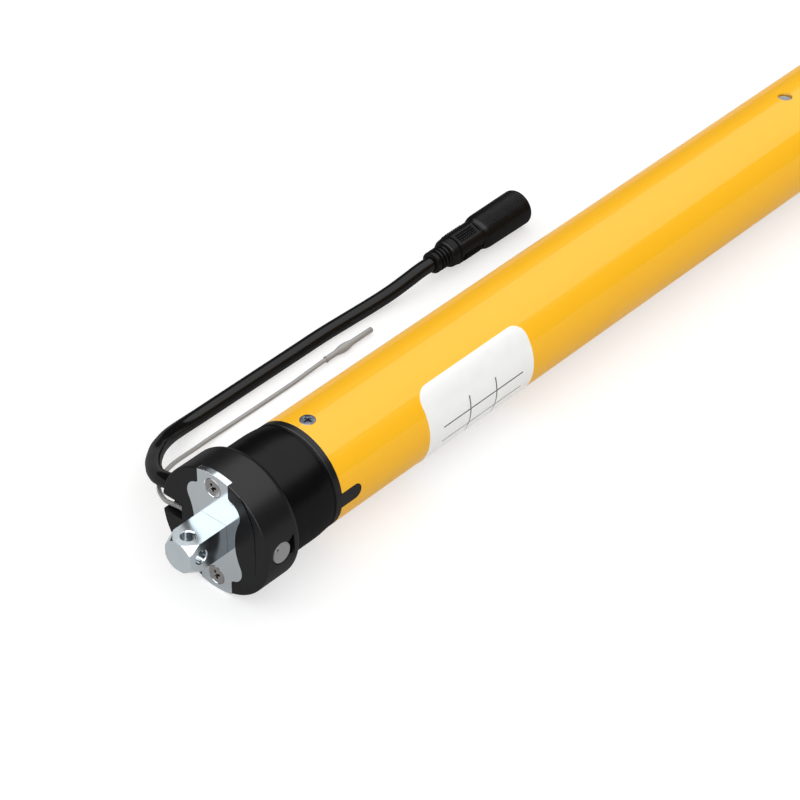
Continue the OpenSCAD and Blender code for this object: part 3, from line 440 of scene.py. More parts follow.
def copper():
    return surface("copper", (204, 122, 70), (178, 98, 52), 0.3, 0.25 * mm, 0.004 * mm, Metallic=1.0)


def gear_steel():
    return surface(
        "gear_steel", (168, 172, 177), (148, 152, 158), 0.3, 0.3 * mm, 0.002 * mm, Metallic=1.0,
    )


def cast_zinc():
    return surface(
        "cast_zinc", (150, 154, 159), (132, 136, 142), 0.42, 0.5 * mm, 0.008 * mm, Metallic=1.0,
    )


def damper_rubber():
    return surface("damper_rubber", (44, 44, 45), (32, 32, 33), 0.6, 0.3 * mm, 0.01 * mm)


finishes = {
    make.__name__: make()
    for make in (
        tube_lacquer, head_plastic, ring_plastic, plated_steel, dark_screw, label_film, gland_rubber,
        cable_jacket, connector_plastic, contact_metal, aerial_jacket, button_plastic, white_plastic,
        circuit_green, component_black, radio_blue, lead_insulation, motor_steel, ferrite, bronze,
        carbon, shaft_steel, copper, gear_steel, cast_zinc, damper_rubber,
    )
}
finishes["pin_steel"] = pin_steel()
finishes["blued_screw"] = blued_screw()


# Mesh tools

def solid(name, mesh):
    """A linked object from a bmesh, with its faces turned outward."""
    bmesh.ops.recalc_face_normals(mesh, faces=mesh.faces)
    data = bpy.data.meshes.new(name)
    mesh.to_mesh(data)
    mesh.free()
    made = bpy.data.objects.new(name, data)
    scene.collection.objects.link(made)
    return made


def turned(name, outline, steps=192, place=None):
    """A solid of revolution about X from (x, radius) pairs, closed from the last to the first."""
    mesh = bmesh.new()
    rings = []
    for x, r in outline:
        angles = [2 * math.pi * k / steps for k in range(steps if r > 0 else 1)]
        rings.append([mesh.verts.new((x, r * math.cos(a), r * math.sin(a))) for a in angles])
    for a, b in zip(rings, rings[1:] + rings[:1]):
        if len(a) + len(b) > 2:
            for k in range(steps):
                after = k + 1
                corners = (a[k % len(a)], a[after % len(a)], b[after % len(b)], b[k % len(b)])
                mesh.faces.new(dict.fromkeys(corners))
    made = solid(name, mesh)
    if place:
        made.data.transform(place)
    return made


def prism(name, outline, low, high, place=None, low_scale=1.0):
    """An outline in Y and Z, extruded along X from low to high, and tapered if low_scale isn't 1."""
    mesh = bmesh.new()
    ends = []
    for x, scale in ((low, low_scale), (high, 1.0)):
        ends.append([mesh.verts.new((x, y * scale, z * scale)) for y, z in outline])
        mesh.faces.new(ends[-1])
    count = len(outline)
    for k in range(count):
        after = (k + 1) % count
        mesh.faces.new((ends[0][k], ends[0][after], ends[1][after], ends[1][k]))
    made = solid(name, mesh)
    if place:
        made.data.transform(place)
    return made


def block(name, low, high):
    """A plain box between two corners, used for cuts."""
    return prism(name, [(low[1], low[2]), (high[1], low[2]), (high[1], high[2]), (low[1], high[2])],
                 low[0], high[0])


def facing(angle, x=0.0):
    """Turns a piece made along X to point outward from the motor's axis, where 90 is up and 180 is -Y."""
    a = math.radians(angle)
    return Matrix((
        (0, 1, 0, x),
        (math.cos(a), 0, math.sin(a), 0),
        (math.sin(a), 0, -math.cos(a), 0),
        (0, 0, 0, 1),
    ))


def facing_front(z=0.0):
    """Turns a piece made along X to point out of the head's front face."""
    return Matrix.Translation((face_x, 0, z)) @ Matrix.Rotation(math.pi, 4, "Z")


def rounded(outline, radius, steps=4):
    """The closed outline with its corners rounded, as far as the lengths beside them allow."""
    points = [Vector(p) for p in outline]
    count = len(points)
    out = []
    for k in range(count):
        here, before, after = points[k], points[k - 1], points[(k + 1) % count]
        to_before, to_after = before - here, after - here
        reach = min(radius, 0.45 * to_before.length, 0.45 * to_after.length)
        start = here + to_before.normalized() * reach
        finish = here + to_after.normalized() * reach
        for i in range(steps + 1):
            t = i / steps
            out.append(tuple(start * (1 - t) ** 2 + here * 2 * t * (1 - t) + finish * t * t))
    return out


def swing(centre, start, finish, steps=12):
    """Points on the shorter arc about a centre from one point to another."""
    first = math.atan2(start[1] - centre[1], start[0] - centre[0])
    last = math.atan2(finish[1] - centre[1], finish[0] - centre[0])
    turn = (last - first + math.pi) % (2 * math.pi) - math.pi
    r = math.dist(centre, start)
    angles = [first + turn * k / steps for k in range(steps + 1)]
    return [(centre[0] + r * math.cos(a), centre[1] + r * math.sin(a)) for a in angles]


def applied(piece):
    """Makes what the modifiers give the piece's own mesh."""
    bpy.context.view_layer.update()
    graph = bpy.context.evaluated_depsgraph_get()
    mesh = bpy.data.meshes.new_from_object(piece.evaluated_get(graph))
    piece.modifiers.clear()
    piece.data = mesh
    return piece


def cut(piece, *tools, operation="DIFFERENCE"):
    for tool in tools:
        step = piece.modifiers.new("cut", "BOOLEAN")
        step.operation = operation
        step.solver = "EXACT"
        step.object = tool
    applied(piece)
    for tool in tools:
        bpy.data.objects.remove(tool)
    return piece


def smoothed(piece, angle=30):
    for face in piece.data.polygons:
        face.use_smooth = True
    piece.data.set_sharp_from_angle(angle=math.radians(angle))
    return piece


def bevelled(piece, width, segments=2, angle=35):
    """Rounds the edges that are sharper than the angle, and evens the normals beside them."""
    bevel = piece.modifiers.new("bevel", "BEVEL")
    bevel.width = width
    bevel.segments = segments
    bevel.limit_method = "ANGLE"
    bevel.angle_limit = math.radians(angle)
    applied(piece)
    smoothed(piece, 40)
    weighted = piece.modifiers.new("normals", "WEIGHTED_NORMAL")
    weighted.keep_sharp = True
    return applied(piece)


def dressed(piece, body, finish, *nodes, slot=None):
    """Gives a finished piece its material and its body, and hides the frame's nodes that it stands for."""
    piece.data.materials.clear()
    piece.data.materials.append(finishes[finish])
    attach(piece, body)
    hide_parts(*nodes)
    return piece


# Geometry Nodes: copies in rows along an axis and round it

def copies_tree():
    """Copies of the piece: stations along X, and turned copies of that row about X."""
    tree = bpy.data.node_groups.new("copies_round_an_axis", "GeometryNodeTree")
    face = tree.interface
    face.new_socket("Geometry", in_out="INPUT", socket_type="NodeSocketGeometry")
    face.new_socket("Stations", in_out="INPUT", socket_type="NodeSocketInt")
    face.new_socket("Pitch", in_out="INPUT", socket_type="NodeSocketFloat")
    face.new_socket("Turns", in_out="INPUT", socket_type="NodeSocketInt")
    face.new_socket("Turn", in_out="INPUT", socket_type="NodeSocketFloat")
    face.new_socket("Finish", in_out="INPUT", socket_type="NodeSocketMaterial")
    face.new_socket("Geometry", in_out="OUTPUT", socket_type="NodeSocketGeometry")
    given = node(tree, "NodeGroupInput").outputs
    link = tree.links.new

    offset = node(tree, "ShaderNodeCombineXYZ")
    link(given["Pitch"], offset.inputs["X"])
    row = node(tree, "GeometryNodeMeshLine", mode="OFFSET")
    link(given["Stations"], row.inputs["Count"])
    link(offset.outputs["Vector"], row.inputs["Offset"])
    along = node(tree, "GeometryNodeInstanceOnPoints")
    link(row.outputs["Mesh"], along.inputs["Points"])
    link(given["Geometry"], along.inputs["Instance"])

    hub = node(tree, "GeometryNodeMeshLine", mode="OFFSET")
    hub.inputs["Offset"].default_value = (0, 0, 0)
    link(given["Turns"], hub.inputs["Count"])
    index = node(tree, "GeometryNodeInputIndex")
    angle = node(tree, "ShaderNodeMath", operation="MULTIPLY")
    link(index.outputs["Index"], angle.inputs[0])
    link(given["Turn"], angle.inputs[1])
    turned_by = node(tree, "ShaderNodeCombineXYZ")
    link(angle.outputs["Value"], turned_by.inputs["X"])
    around = node(tree, "GeometryNodeInstanceOnPoints")
    link(hub.outputs["Mesh"], around.inputs["Points"])
    link(along.outputs["Instances"], around.inputs["Instance"])
    link(turned_by.outputs["Vector"], around.inputs["Rotation"])

    real = node(tree, "GeometryNodeRealizeInstances")
    link(around.outputs["Instances"], real.inputs["Geometry"])
    finish = node(tree, "GeometryNodeSetMaterial")
    link(real.outputs["Geometry"], finish.inputs["Geometry"])
    link(given["Finish"], finish.inputs["Material"])
    link(finish.outputs["Geometry"], node(tree, "NodeGroupOutput").inputs["Geometry"])
    return tree


round_an_axis = copies_tree()


def copied(piece, finish, stations=1, pitch=0.0, turns=1, turn=math.pi):
    """The piece repeated at stations along X, and that row repeated about X."""
    step = piece.modifiers.new("copies", "NODES")
    step.node_group = round_an_axis
    values = {
        "Stations": stations, "Pitch": pitch, "Turns": turns, "Turn": turn, "Finish": finishes[finish],
    }
    for item in round_an_axis.interface.items_tree:
        if item.in_out == "INPUT" and item.name in values:
            step[item.identifier] = values[item.name]
    return applied(piece)


# Cords

def add_cord(name, route, diameter, length, exit_point, far_end, finish, stiffness, with_pieces, *nodes):
    """A cord along its route, as a round tube on the curve; the length given to it, measured on the same
    curve, is not used.
    """
    data = bpy.data.curves.new(name, "CURVE")
    data.dimensions = "3D"
    data.bevel_depth = diameter / 2
    data.bevel_resolution = 6
    data.resolution_u = 6
    data.use_fill_caps = True
    line = data.splines.new("BEZIER")
    line.bezier_points.add(len(route) - 1)
    for knot, place in zip(line.bezier_points, route):
        knot.co = Vector(place) * mm
        knot.handle_left_type = knot.handle_right_type = "AUTO"
    cord = bpy.data.objects.new(name, data)
    scene.collection.objects.link(cord)
    data.materials.append(finishes[finish])
    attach(cord, "motor")
    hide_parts(*nodes)
    return cord


def add_cords():
    connector = add_connector()
    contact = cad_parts["connector_contacts"]
    add_cord("supply_cable", cable_route, cable_d, 176.7 * mm, Vector(cable_route[0]) * mm,
             "connector", "cable_jacket", "limp", [connector, contact], "power_cable")
    sleeve = add_sleeve()
    add_cord("aerial", aerial_route, aerial_d, 118.7 * mm, Vector(aerial_route[0]) * mm,
             "fitting", "aerial_jacket", "limp", [sleeve], "aerial_wire")


def add_connector():
    """Strain relief with its ribs, the grip with four pads of pips, and the grooved socket end."""
    relief_r, grip_r, socket_r, bore_r = 3.75 * mm, 5.2 * mm, 6.2 * mm, 2.8 * mm
    total, end_r, bore_depth = 44.4 * mm, 1.6 * mm, 9.5 * mm
    ribs, rib_start, rib_pitch = 3, 2.2, 1.467
    low = relief_r - 0.8 * mm
    outline = [(0, 0), (0, relief_r - 0.7 * mm), (0.4 * mm, relief_r - 0.1 * mm), (0.9 * mm, relief_r),
               (1.7 * mm, relief_r - 0.1 * mm), (1.9 * mm, low)]
    for k in range(ribs):
        x = (rib_start + rib_pitch * k) * mm
        outline += [(x, low), (x + 0.2 * mm, relief_r), (x + 0.95 * mm, relief_r), (x + 1.15 * mm, low)]
    outline += [(x * mm, grip_r + r * mm) for x, r in (
        (6.6, -1.1), (6.9, -0.7), (7.6, -0.4), (9.5, -0.2), (9.7, -0.5), (10, -0.5), (10.2, 0), (21.2, 0),
        (21.5, -0.4), (21.9, -0.5), (22.2, -0.2), (22.8, 0.4), (23.6, 0.7), (24.8, 0.85),
    )]
    outline += swing((total - end_r, socket_r - end_r), (total - end_r, socket_r),
                     (total, socket_r - end_r), 6)
    outline += [(total, bore_r + 0.3 * mm), (total - 0.3 * mm, bore_r), (total - bore_depth, bore_r),
                (total - bore_depth, 0)]
    body = turned("connector_shell", outline, 96)

    pad_start, pad_end, pad_r, pad_angle, pads = 10.2 * mm, 20.8 * mm, grip_r - 0.5 * mm, 110, 4
    pad = [(pad_start, -grip_r), (pad_end, -grip_r), (pad_end, grip_r), (pad_start, grip_r)]
    pad_angles = [pad_angle + 90 * k for k in range(pads)]
    grooves = groove_cutter(socket_r, 112, 42, 0.62 * mm)
    copied(grooves, "connector_plastic", 20, 0.95 * mm)
    grooves.data.transform(Matrix.Translation((24.2 * mm, 0, 0)))
    cut(body, grooves, *[prism("flat", pad, pad_r, 8 * mm, facing(angle)) for angle in pad_angles])

    pip_foot, pip_top = pad_r - 0.3 * mm, grip_r + 0.15 * mm
    pips = turned("pips", [
        (pip_foot, 0), (pip_foot, 0.36 * mm), (pip_top, 0.27 * mm), (pip_top, 0),
    ], 8, facing(pad_angle))
    rows, row_turn = 4, math.radians(10)
    pips.data.transform(Matrix.Rotation(-row_turn * (rows - 1) / 2, 4, "X"))
    copied(pips, "connector_plastic", 8, 0.98 * mm, rows, row_turn)
    copied(pips, "connector_plastic", turns=pads, turn=math.pi / 2)
    pips.data.transform(Matrix.Translation((12.2 * mm, 0, 0)))
    body = joined(body, pips)
    body.data.transform(Matrix.Translation(plug_at))
    smoothed(body, 35)
    return dressed(body, "motor", "connector_plastic", "connector_body")


def groove_cutter(r, middle, half, depth):
    """A wedge that cuts a groove round part of a cylinder, deepest at its middle and fading at its ends."""
    steps, slope = 24, 0.7
    top, end_floor = r + 0.03 * mm, r + 0.01 * mm
    mesh = bmesh.new()
    rings = []
    for k in range(steps + 1):
        t = 2 * k / steps - 1
        a = math.radians(middle + half * t)
        floor = end_floor - depth * math.cos(math.pi / 2 * t)
        side = slope * (top - floor)
        rings.append([mesh.verts.new((x, away * math.cos(a), away * math.sin(a)))
                      for x, away in ((-side, top), (0, floor), (side, top))])
    for ring, after in zip(rings, rings[1:]):
        for k in range(3):
            mesh.faces.new((ring[k], ring[k - 1], after[k - 1], after[k]))
    mesh.faces.new(rings[0])
    mesh.faces.new(rings[-1][::-1])
    return solid("grooves", mesh)


def joined(first, *others):
    """One object from several, each still its own closed shell."""
    mesh = bmesh.new()
    for piece in (first, *others):
        mesh.from_mesh(piece.data)
    mesh.to_mesh(first.data)
    mesh.free()
    for piece in others:
        bpy.data.objects.remove(piece)
    return first


def add_sleeve():
    """The sleeve on the aerial's end, with a lip where the aerial enters, swollen over its bead."""
    r, bead_r, length, lip = 1.0 * mm, 1.45 * mm, 21.5 * mm, 0.06 * mm
    swell_start, swell_len, steps = 4.4 * mm, 8 * mm, 14
    outline = [(0, 0), (0, r + lip), (0.5 * mm, r + lip), (0.6 * mm, r - lip)]
    for k in range(steps + 1):
        t = k / steps
        swell = math.sin(math.pi * t) ** 1.4
        outline.append((swell_start + swell_len * t, r - lip + (bead_r - r + lip) * swell))
    outline += [(length - 0.3 * mm, r - 0.1 * mm), (length, r - 0.35 * mm), (length, 0)]
    sleeve = turned("aerial_end", outline, 48, Matrix.Translation(sleeve_at))
    smoothed(sleeve, 40)
    return dressed(sleeve, "motor", "aerial_jacket", "aerial_sleeve")


# The head

def plate_outline(grow=0.0, reach=flange_r):
    """Outline of the mounting plate in Y and Z: waist, lobes, shoulders and lugs as tangent arcs."""
    r = lobe_r + grow
    waist = waist_w / 2 + grow
    lug = lug_w / 2 + grow
    shoulder = shoulder_r - grow
    lobe = (lobe_y, lobe_z)
    waist_r = ((waist - lobe_y) ** 2 + lobe_z ** 2 - r ** 2) / (2 * (r - waist + lobe_y))
    waist_centre = (waist + waist_r, 0)
    toward = r / (waist_r + r)
    touch = (lobe_y + toward * (waist_centre[0] - lobe_y), lobe_z - toward * lobe_z)
    shoulder_y = lug + shoulder
    shoulder_z = lobe_z + math.sqrt((r + shoulder) ** 2 - (shoulder_y - lobe_y) ** 2)
    toward = r / (r + shoulder)
    meet = (lobe_y + toward * (shoulder_y - lobe_y), lobe_z + toward * (shoulder_z - lobe_z))
    quarter = swing(waist_centre, (waist, 0), touch)[:-1]
    quarter += swing(lobe, touch, meet, 24)[:-1]
    quarter += swing((shoulder_y, shoulder_z), meet, (lug, shoulder_z))
    quarter += swing((0, 0), (lug, math.sqrt(reach ** 2 - lug ** 2)), (0, reach))
    half = quarter + [(-y, z) for y, z in quarter[-2::-1]]
    return half + [(-y, -z) for y, z in half[1:-1]]


def crescent_cutter():
    """The shallow step beside the plate, deepest at the top and fading out below the axis."""
    centre, arc_r, depth = (3 * mm, 4.7 * mm), 18.85 * mm, 0.35 * mm
    low, side = -9 * mm, -21.2 * mm
    start, turn_down = (-6.95 * mm, 20.7 * mm), (centre[0] - arc_r, centre[1])
    outline = swing(centre, start, turn_down, 24) + [(turn_down[0], low), (side, low), (side, start[1])]
    tool = prism("crescent", outline, face_x - 1 * mm, face_x)
    for vertex in tool.data.vertices:
        if vertex.co.x > face_x - 0.5 * mm:
            vertex.co.x = face_x + depth * (vertex.co.z - low) / (flange_r - low)
    return tool


def screw_cutter(head_d, shank_d, head_h, length, place):
    outline = [(-length, 0), (-length, shank_d / 2), (-head_h, shank_d / 2), (0, head_d / 2),
               (5 * mm, head_d / 2), (5 * mm, 0)]
    return turned("screw_seat", outline, 64, place)


def add_head():
    front, rear, rear_x = flange_round, flange_rear_round, -0.15 * mm
    outline = [(face_x, 0)]
    outline += swing((face_x + front, flange_r - front), (face_x, flange_r - front),
                     (face_x + front, flange_r), 6)
    outline += swing((rear_x - rear, flange_r - rear), (rear_x - rear, flange_r),
                     (rear_x, flange_r - rear), 14)
    outline += [(rear_x, neck_r), (collar_start, neck_r), (collar_start, spigot_r), (spigot_end, spigot_r),
                (spigot_end, chamber_r), (chamber_x, chamber_r), (chamber_x, 0)]
    head = turned("head", outline, 256)
    gap = 0.03 * mm
    notch_rear, outside = exit_x + passage_w / 2, 30 * mm
    tools = [
        prism("recess", plate_outline(gap, flange_r + 1 * mm), face_x - 1 * mm, face_x + plate_t),
        crescent_cutter(),
        block("passage", (exit_x - passage_w / 2, 9.5 * mm, passage_low),
              (notch_rear, outside, passage_high)),
        block("notch", (face_x - 1 * mm, notch_y, passage_low), (notch_rear, outside, notch_top)),
        *button_cutters(),
    ]
    cut(head, *tools)
    bevelled(head, 0.14 * mm)
    return dressed(head, "motor", "head_plastic", "head_housing")


def button_cutters():
    """The flat round the button, the deep wedge behind it, and its bore with a ring-shaped gap."""
    r, outside = button_d / 2, 30 * mm
    flat_r = flange_r - 0.38 * mm
    flat_start, flat_end, side = button_x - 4.6 * mm, button_x + 5 * mm, 12 * mm
    flat = [(flat_start, -side), (flat_end, -side), (flat_end, side), (flat_start, side)]
    wedge = [(flat_end - 0.1 * mm, 4 * mm), (flat_end, 2 * mm), (flat_end, -0.8 * mm),
             (flat_end - 0.7 * mm, -2.6 * mm)]
    wedge += swing((button_x, 0), (button_x + 2.6 * mm, -2.5 * mm), (button_x + 2.9 * mm, 2.2 * mm), 12)
    bore_r, gap_r, gap_floor = r + seam, r + 0.3 * mm, flat_r - 0.7 * mm
    bore = [(10 * mm, 0), (10 * mm, bore_r), (gap_floor, bore_r), (gap_floor, gap_r),
            (outside, gap_r), (outside, 0)]
    return [
        prism("flat", flat, flat_r, outside, facing(180)),
        prism("wedge", wedge, flange_r - 1.8 * mm, outside, facing(180)),
        turned("button_bore", bore, 96, facing(180, button_x)),
    ]


def add_gland():
    """The rubber block in the passage, with a lip round the cable and a nose in the notch."""
    gap = 0.03 * mm
    body = block("gland", (exit_x - passage_w / 2 + gap, 11.6 * mm, passage_low + gap),
                 (exit_x + passage_w / 2 - gap, exit_y, passage_high - gap))
    nose = block("nose", (face_x + 0.7 * mm, notch_y - 0.4 * mm, passage_low + gap),
                 (exit_x, notch_y + 0.6 * mm, notch_top - gap))
    r, lip_end = cable_d / 2, exit_y + 0.6 * mm
    lip = turned("lip", [
        (exit_y - 1 * mm, 0), (exit_y - 1 * mm, r + 0.4 * mm), (exit_y + 0.3 * mm, r + 0.4 * mm),
        (lip_end, r + 0.15 * mm), (lip_end, 0),
    ], 48, Matrix.Translation((exit_x, 0, exit_z)) @ Matrix.Rotation(math.pi / 2, 4, "Z"))
    bevelled(cut(body, nose, lip, operation="UNION"), 0.12 * mm)
    return dressed(body, "motor", "gland_rubber", "cable_gland")


def add_plate():
    plate = prism("face_plate", plate_outline(), face_x, face_x + plate_t)
    half = shank_w / 2
    tools = [prism("square_hole", [(-half, -half), (half, -half), (half, half), (-half, half)],
                   face_x - 1 * mm, face_x + plate_t + 1 * mm)]
    for z in (-plate_screw_z, plate_screw_z):
        tools.append(screw_cutter(6.4 * mm, 3.1 * mm, 1.6 * mm, 6 * mm, facing_front(z)))
    cut(plate, *tools)
    bevelled(plate, 0.16 * mm, 3)
    return dressed(plate, "motor", "plated_steel", "mounting_plate")


def add_pin():
    """The square bar: its corners turned down to a cone at the tip, and two cross holes near it."""
    half = pin_w / 2
    square = [(-half, -half), (half, -half), (half, half), (-half, half)]
    pin = prism("pin", square, pin_tip_x, face_x - seam)
    corner_r = half * math.sqrt(2) + 0.02 * mm
    chamfer_end = pin_tip_x + pin_chamfer_len
    cone = [(pin_tip_x - seam, 0), (pin_tip_x - seam, tip_r), (chamfer_end, corner_r), (0, corner_r), (0, 0)]
    cut(pin, turned("cone", cone, 128), operation="INTERSECT")
    hole_x = pin_tip_x + cross_inset
    hole_r, sink, past = cross_d / 2, 0.3 * mm, 1 * mm
    mouth_r = hole_r + sink + past
    hole = [(-half - past, 0), (-half - past, mouth_r), (-half + sink, hole_r), (half - sink, hole_r),
            (half + past, mouth_r), (half + past, 0)]
    cut(pin, *[turned("cross_hole", hole, 64, facing(angle, hole_x)) for angle in (90, 180)])
    bevelled(pin, 0.12 * mm, 2, 25)
    return dressed(pin, "motor", "pin_steel", "square_pin", slot="plated_steel")


def cross_outline(arm, width):
    """Outline of a cross recess, seen from the screw's head."""
    a, w = arm / 2, width / 2
    return [(a, -w), (a, w), (w, w), (w, a), (-w, a), (-w, w), (-a, w), (-a, -w), (-w, -w), (-w, -a),
            (w, -a), (w, -w)]


def screw_piece(name, head_d, shank_d, head_h, length, lift=0.0):
    """A countersunk screw pointing down X from its head at x = 0, with a tapered cross recess."""
    outline = [(-length, 0), (-length, shank_d / 2), (-head_h, shank_d / 2), (-0.12 * mm, head_d / 2),
               (0, head_d / 2 - 0.1 * mm), (lift, head_d / 4), (lift, 0)]
    screw = turned(name, outline, 64)
    recess = prism("recess", cross_outline(head_d * 0.72, head_d * 0.2), -head_h * 0.7, head_h, low_scale=0.5)
    bevelled(cut(screw, recess), 0.05 * mm, 2, 30)
    return screw


def add_plate_screws():
    screws = screw_piece("plate_screw_pair", 6.1 * mm, 3 * mm, 1.6 * mm, 8 * mm, 0.05 * mm)
    screws.data.transform(facing_front(plate_screw_z) @ Matrix.Rotation(math.radians(20), 4, "X"))
    copied(screws, "dark_screw", turns=2)
    return dressed(screws, "motor", "dark_screw", "plate_screws")


def add_tube_screws():
    screws = screw_piece("tube_screw_set", 4.9 * mm, 2.6 * mm, tube_wall, 5.4 * mm)
    screws.data.transform(Matrix.Translation((screw_x, 0, tube_r)) @ facing(90))
    copied(screws, "blued_screw", 2, end_screw_x - screw_x, 2)
    return dressed(screws, "motor", "blued_screw", "tube_screws", slot="dark_screw")


def add_button():
    """The domed cap of the setting button, with a small round mark near its rim."""
    cap = flange_r - 0.1 * mm
    base = flange_r - 6.9 * mm
    r = button_d / 2
    outline = [(base, 0), (base, r + 0.9 * mm), (base + 1.1 * mm, r + 0.9 * mm), (base + 1.1 * mm, r)]
    outline += swing((cap - 0.5 * mm, r - 0.5 * mm), (cap - 0.5 * mm, r), (cap - 0.12 * mm, r - 0.18 * mm), 4)
    outline += [(cap - 0.03 * mm, r * 0.6), (cap, r * 0.3), (cap, 0)]
    button = turned("button_cap", outline, 96, facing(180, button_x))
    mark_r, mark_floor, past = 0.5 * mm, cap - 1.6 * mm, cap + 1 * mm
    mark = turned("mark", [
        (mark_floor, 0), (mark_floor, mark_r), (past, mark_r), (past, 0),
    ], 24, Matrix.Translation((0, 0, 2 * mm)) @ facing(180, button_x - 1.8 * mm))
    cut(button, mark)
    smoothed(button, 35)
    return dressed(button, "button", "button_plastic", "setting_button")


# The ring, the collar and the tube

def add_ring():
    """The idler ring: a full band, then a soft taper to the tube's diameter."""
    full_len, taper_end, end_r = 12.8 * mm, 17 * mm, ring_r - 0.45 * mm
    bore = neck_r + seam
    outline = rounded([(0, bore), (0, ring_r), (full_len / 2, ring_r)], 0.2 * mm, 6)[:-1]
    outline += rounded([(full_len / 2, ring_r), (full_len, ring_r), (taper_end, end_r)], 2.4 * mm, 8)[5:-5]
    outline += rounded([(taper_end, end_r), (ring_len, end_r), (ring_len, bore)], 0.14 * mm)
    ring = turned("crown_ring", outline, 256)
    smoothed(ring, 25)
    return dressed(ring, "idler", "ring_plastic", "idler_ring")


def key_outline(grow=0.0):
    """The round-ended key: distance from the tube's end, and across."""
    w = key_w / 2 + grow
    flat = key_len - key_w / 2
    end = [(flat + w * math.sin(a), -w * math.cos(a)) for a in [math.pi * k / 16 for k in range(17)]]
    return [(-1 * mm, -w)] + end + [(-1 * mm, w)]


def add_collar():
    r, edge = tube_r, 0.3 * mm
    outline = [(collar_start, spigot_r + seam), (collar_start, r - edge), (collar_start + edge, r),
               (tube_start, r), (tube_start, insert_r), (insert_end, insert_r), (insert_end, chamber_r),
               (spigot_end + seam, chamber_r), (spigot_end + seam, spigot_r + seam)]
    collar = turned("collar", outline, 192)
    key = prism("key", key_outline(), 15 * mm, r - 0.02 * mm, facing(key_angle, tube_start))
    cut(collar, key, operation="UNION")
    bevelled(collar, 0.06 * mm)
    return dressed(collar, "motor", "head_plastic", "collar_insert")


def radial_normals(piece, r):
    """Gives the corners on the cylinder of that radius their exact normals."""
    mesh = piece.data
    normals = [Vector(n.vector) for n in mesh.corner_normals]
    for face in mesh.polygons:
        for corner in face.loop_indices:
            place = mesh.vertices[mesh.loops[corner].vertex_index].co
            out = Vector((0, place.y, place.z))
            if abs(out.length - r) < 0.002 * mm and face.normal.dot(out) > 0.98 * out.length:
                normals[corner] = out.normalized()
    mesh.normals_split_custom_set([tuple(n) for n in normals])


def add_tube():
    r = tube_r
    bore = r - tube_wall
    edge = 0.15 * mm
    outline = [(tube_start, bore), (tube_start, r - edge), (tube_start + edge, r), (tube_end - edge, r),
               (tube_end, r - edge), (tube_end, bore)]
    tube = turned("motor_tube", outline, 256)
    tools = [prism("slot", key_outline(seam), 10 * mm, 25 * mm, facing(key_angle, tube_start))]
    for angle in (90, 270):
        tools.append(turned("window", [(10 * mm, 0), (10 * mm, window_d / 2), (25 * mm, window_d / 2),
                                       (25 * mm, 0)], 64, facing(angle, window_x)))
        for x in (screw_x, end_screw_x):
            tools.append(screw_cutter(5.1 * mm, 2.7 * mm, tube_wall, 3 * mm,
                                      facing(angle, x) @ Matrix.Translation((r, 0, 0))))
    cut(tube, *tools)
    smoothed(tube, 30)
    radial_normals(tube, r)
    return dressed(tube, "motor", "tube_lacquer", "tube")


def add_label():
    """A thin film round the tube, with round corners and its own flat sheet of coordinates in mm."""
    inner, outer = tube_r, tube_r + 0.12 * mm
    middle, width, corner = math.radians(label_angle), label_w, 5 * mm
    length = label_end - label_start
    near_edge = [corner * (1 - math.cos(math.pi / 2 * k / 10)) for k in range(10)]
    flat = [corner + (width - 2 * corner) * k / 60 for k in range(61)]
    columns = near_edge + flat + [width - w for w in reversed(near_edge)]
    mesh = bmesh.new()
    sheet = mesh.loops.layers.uv.new("sheet")
    places = {}
    rows = []
    for w in columns:
        from_edge = min(w, width - w, corner)
        inset = corner - math.sqrt(max(0, corner ** 2 - (corner - from_edge) ** 2))
        angle = middle + (w - width / 2) / tube_r
        row = []
        for r, v in ((outer, inset), (outer, length - inset), (inner, length - inset), (inner, inset)):
            vertex = mesh.verts.new((label_start + v, r * math.cos(angle), r * math.sin(angle)))
            places[vertex] = (w / mm, v / mm)
            row.append(vertex)
        rows.append(row)
    for a, b in zip(rows, rows[1:]):
        for k in range(4):
            after = (k + 1) % 4
            mesh.faces.new((a[k], a[after], b[after], b[k]))
    mesh.faces.new(rows[0])
    mesh.faces.new(rows[-1])
    for face in mesh.faces:
        for loop in face.loops:
            loop[sheet].uv = places[loop.vert]
    label = solid("film_label", mesh)
    smoothed(label, 30)
    return dressed(label, "motor", "label_film", "rating_label")


# The drive end

def add_bearing():
    """The end bearing: a plug inside the tube with a rim outside it, bored for two bushes."""
    start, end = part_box("end_bearing")[0].x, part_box("end_bearing")[1].x
    bush_bore, bore = bush_r + seam, journal_r + 0.5 * mm
    outline = rounded([
        (start, bush_bore), (start, insert_r), (tube_end, insert_r), (tube_end, tube_r), (end, tube_r),
        (end, tube_r - 3 * mm), (end - 0.4 * mm, tube_r - 3.4 * mm), (end - 0.4 * mm, bush_r + 2 * mm),
        (end, bush_r + 1.6 * mm), (end, bush_bore), (end - bush_len, bush_bore), (end - bush_len, bore),
        (start + bush_len, bore), (start + bush_len, bush_bore),
    ], 0.25 * mm)
    bearing = turned("drive_bearing", outline, 192)
    smoothed(bearing, 30)
    dressed(bearing, "motor", "cast_zinc", "end_bearing")
    bushes = turned("bearing_bushes", rounded([
        (0, journal_r + seam), (0, bush_r), (bush_len - seam, bush_r), (bush_len - seam, journal_r + seam),
    ], 0.2 * mm), 128)
    copied(bushes, "bronze", 2, end - start - bush_len + seam)
    bushes.data.transform(Matrix.Translation((start, 0, 0)))
    smoothed(bushes, 30)
    dressed(bushes, "motor", "bronze", "output_bushes")


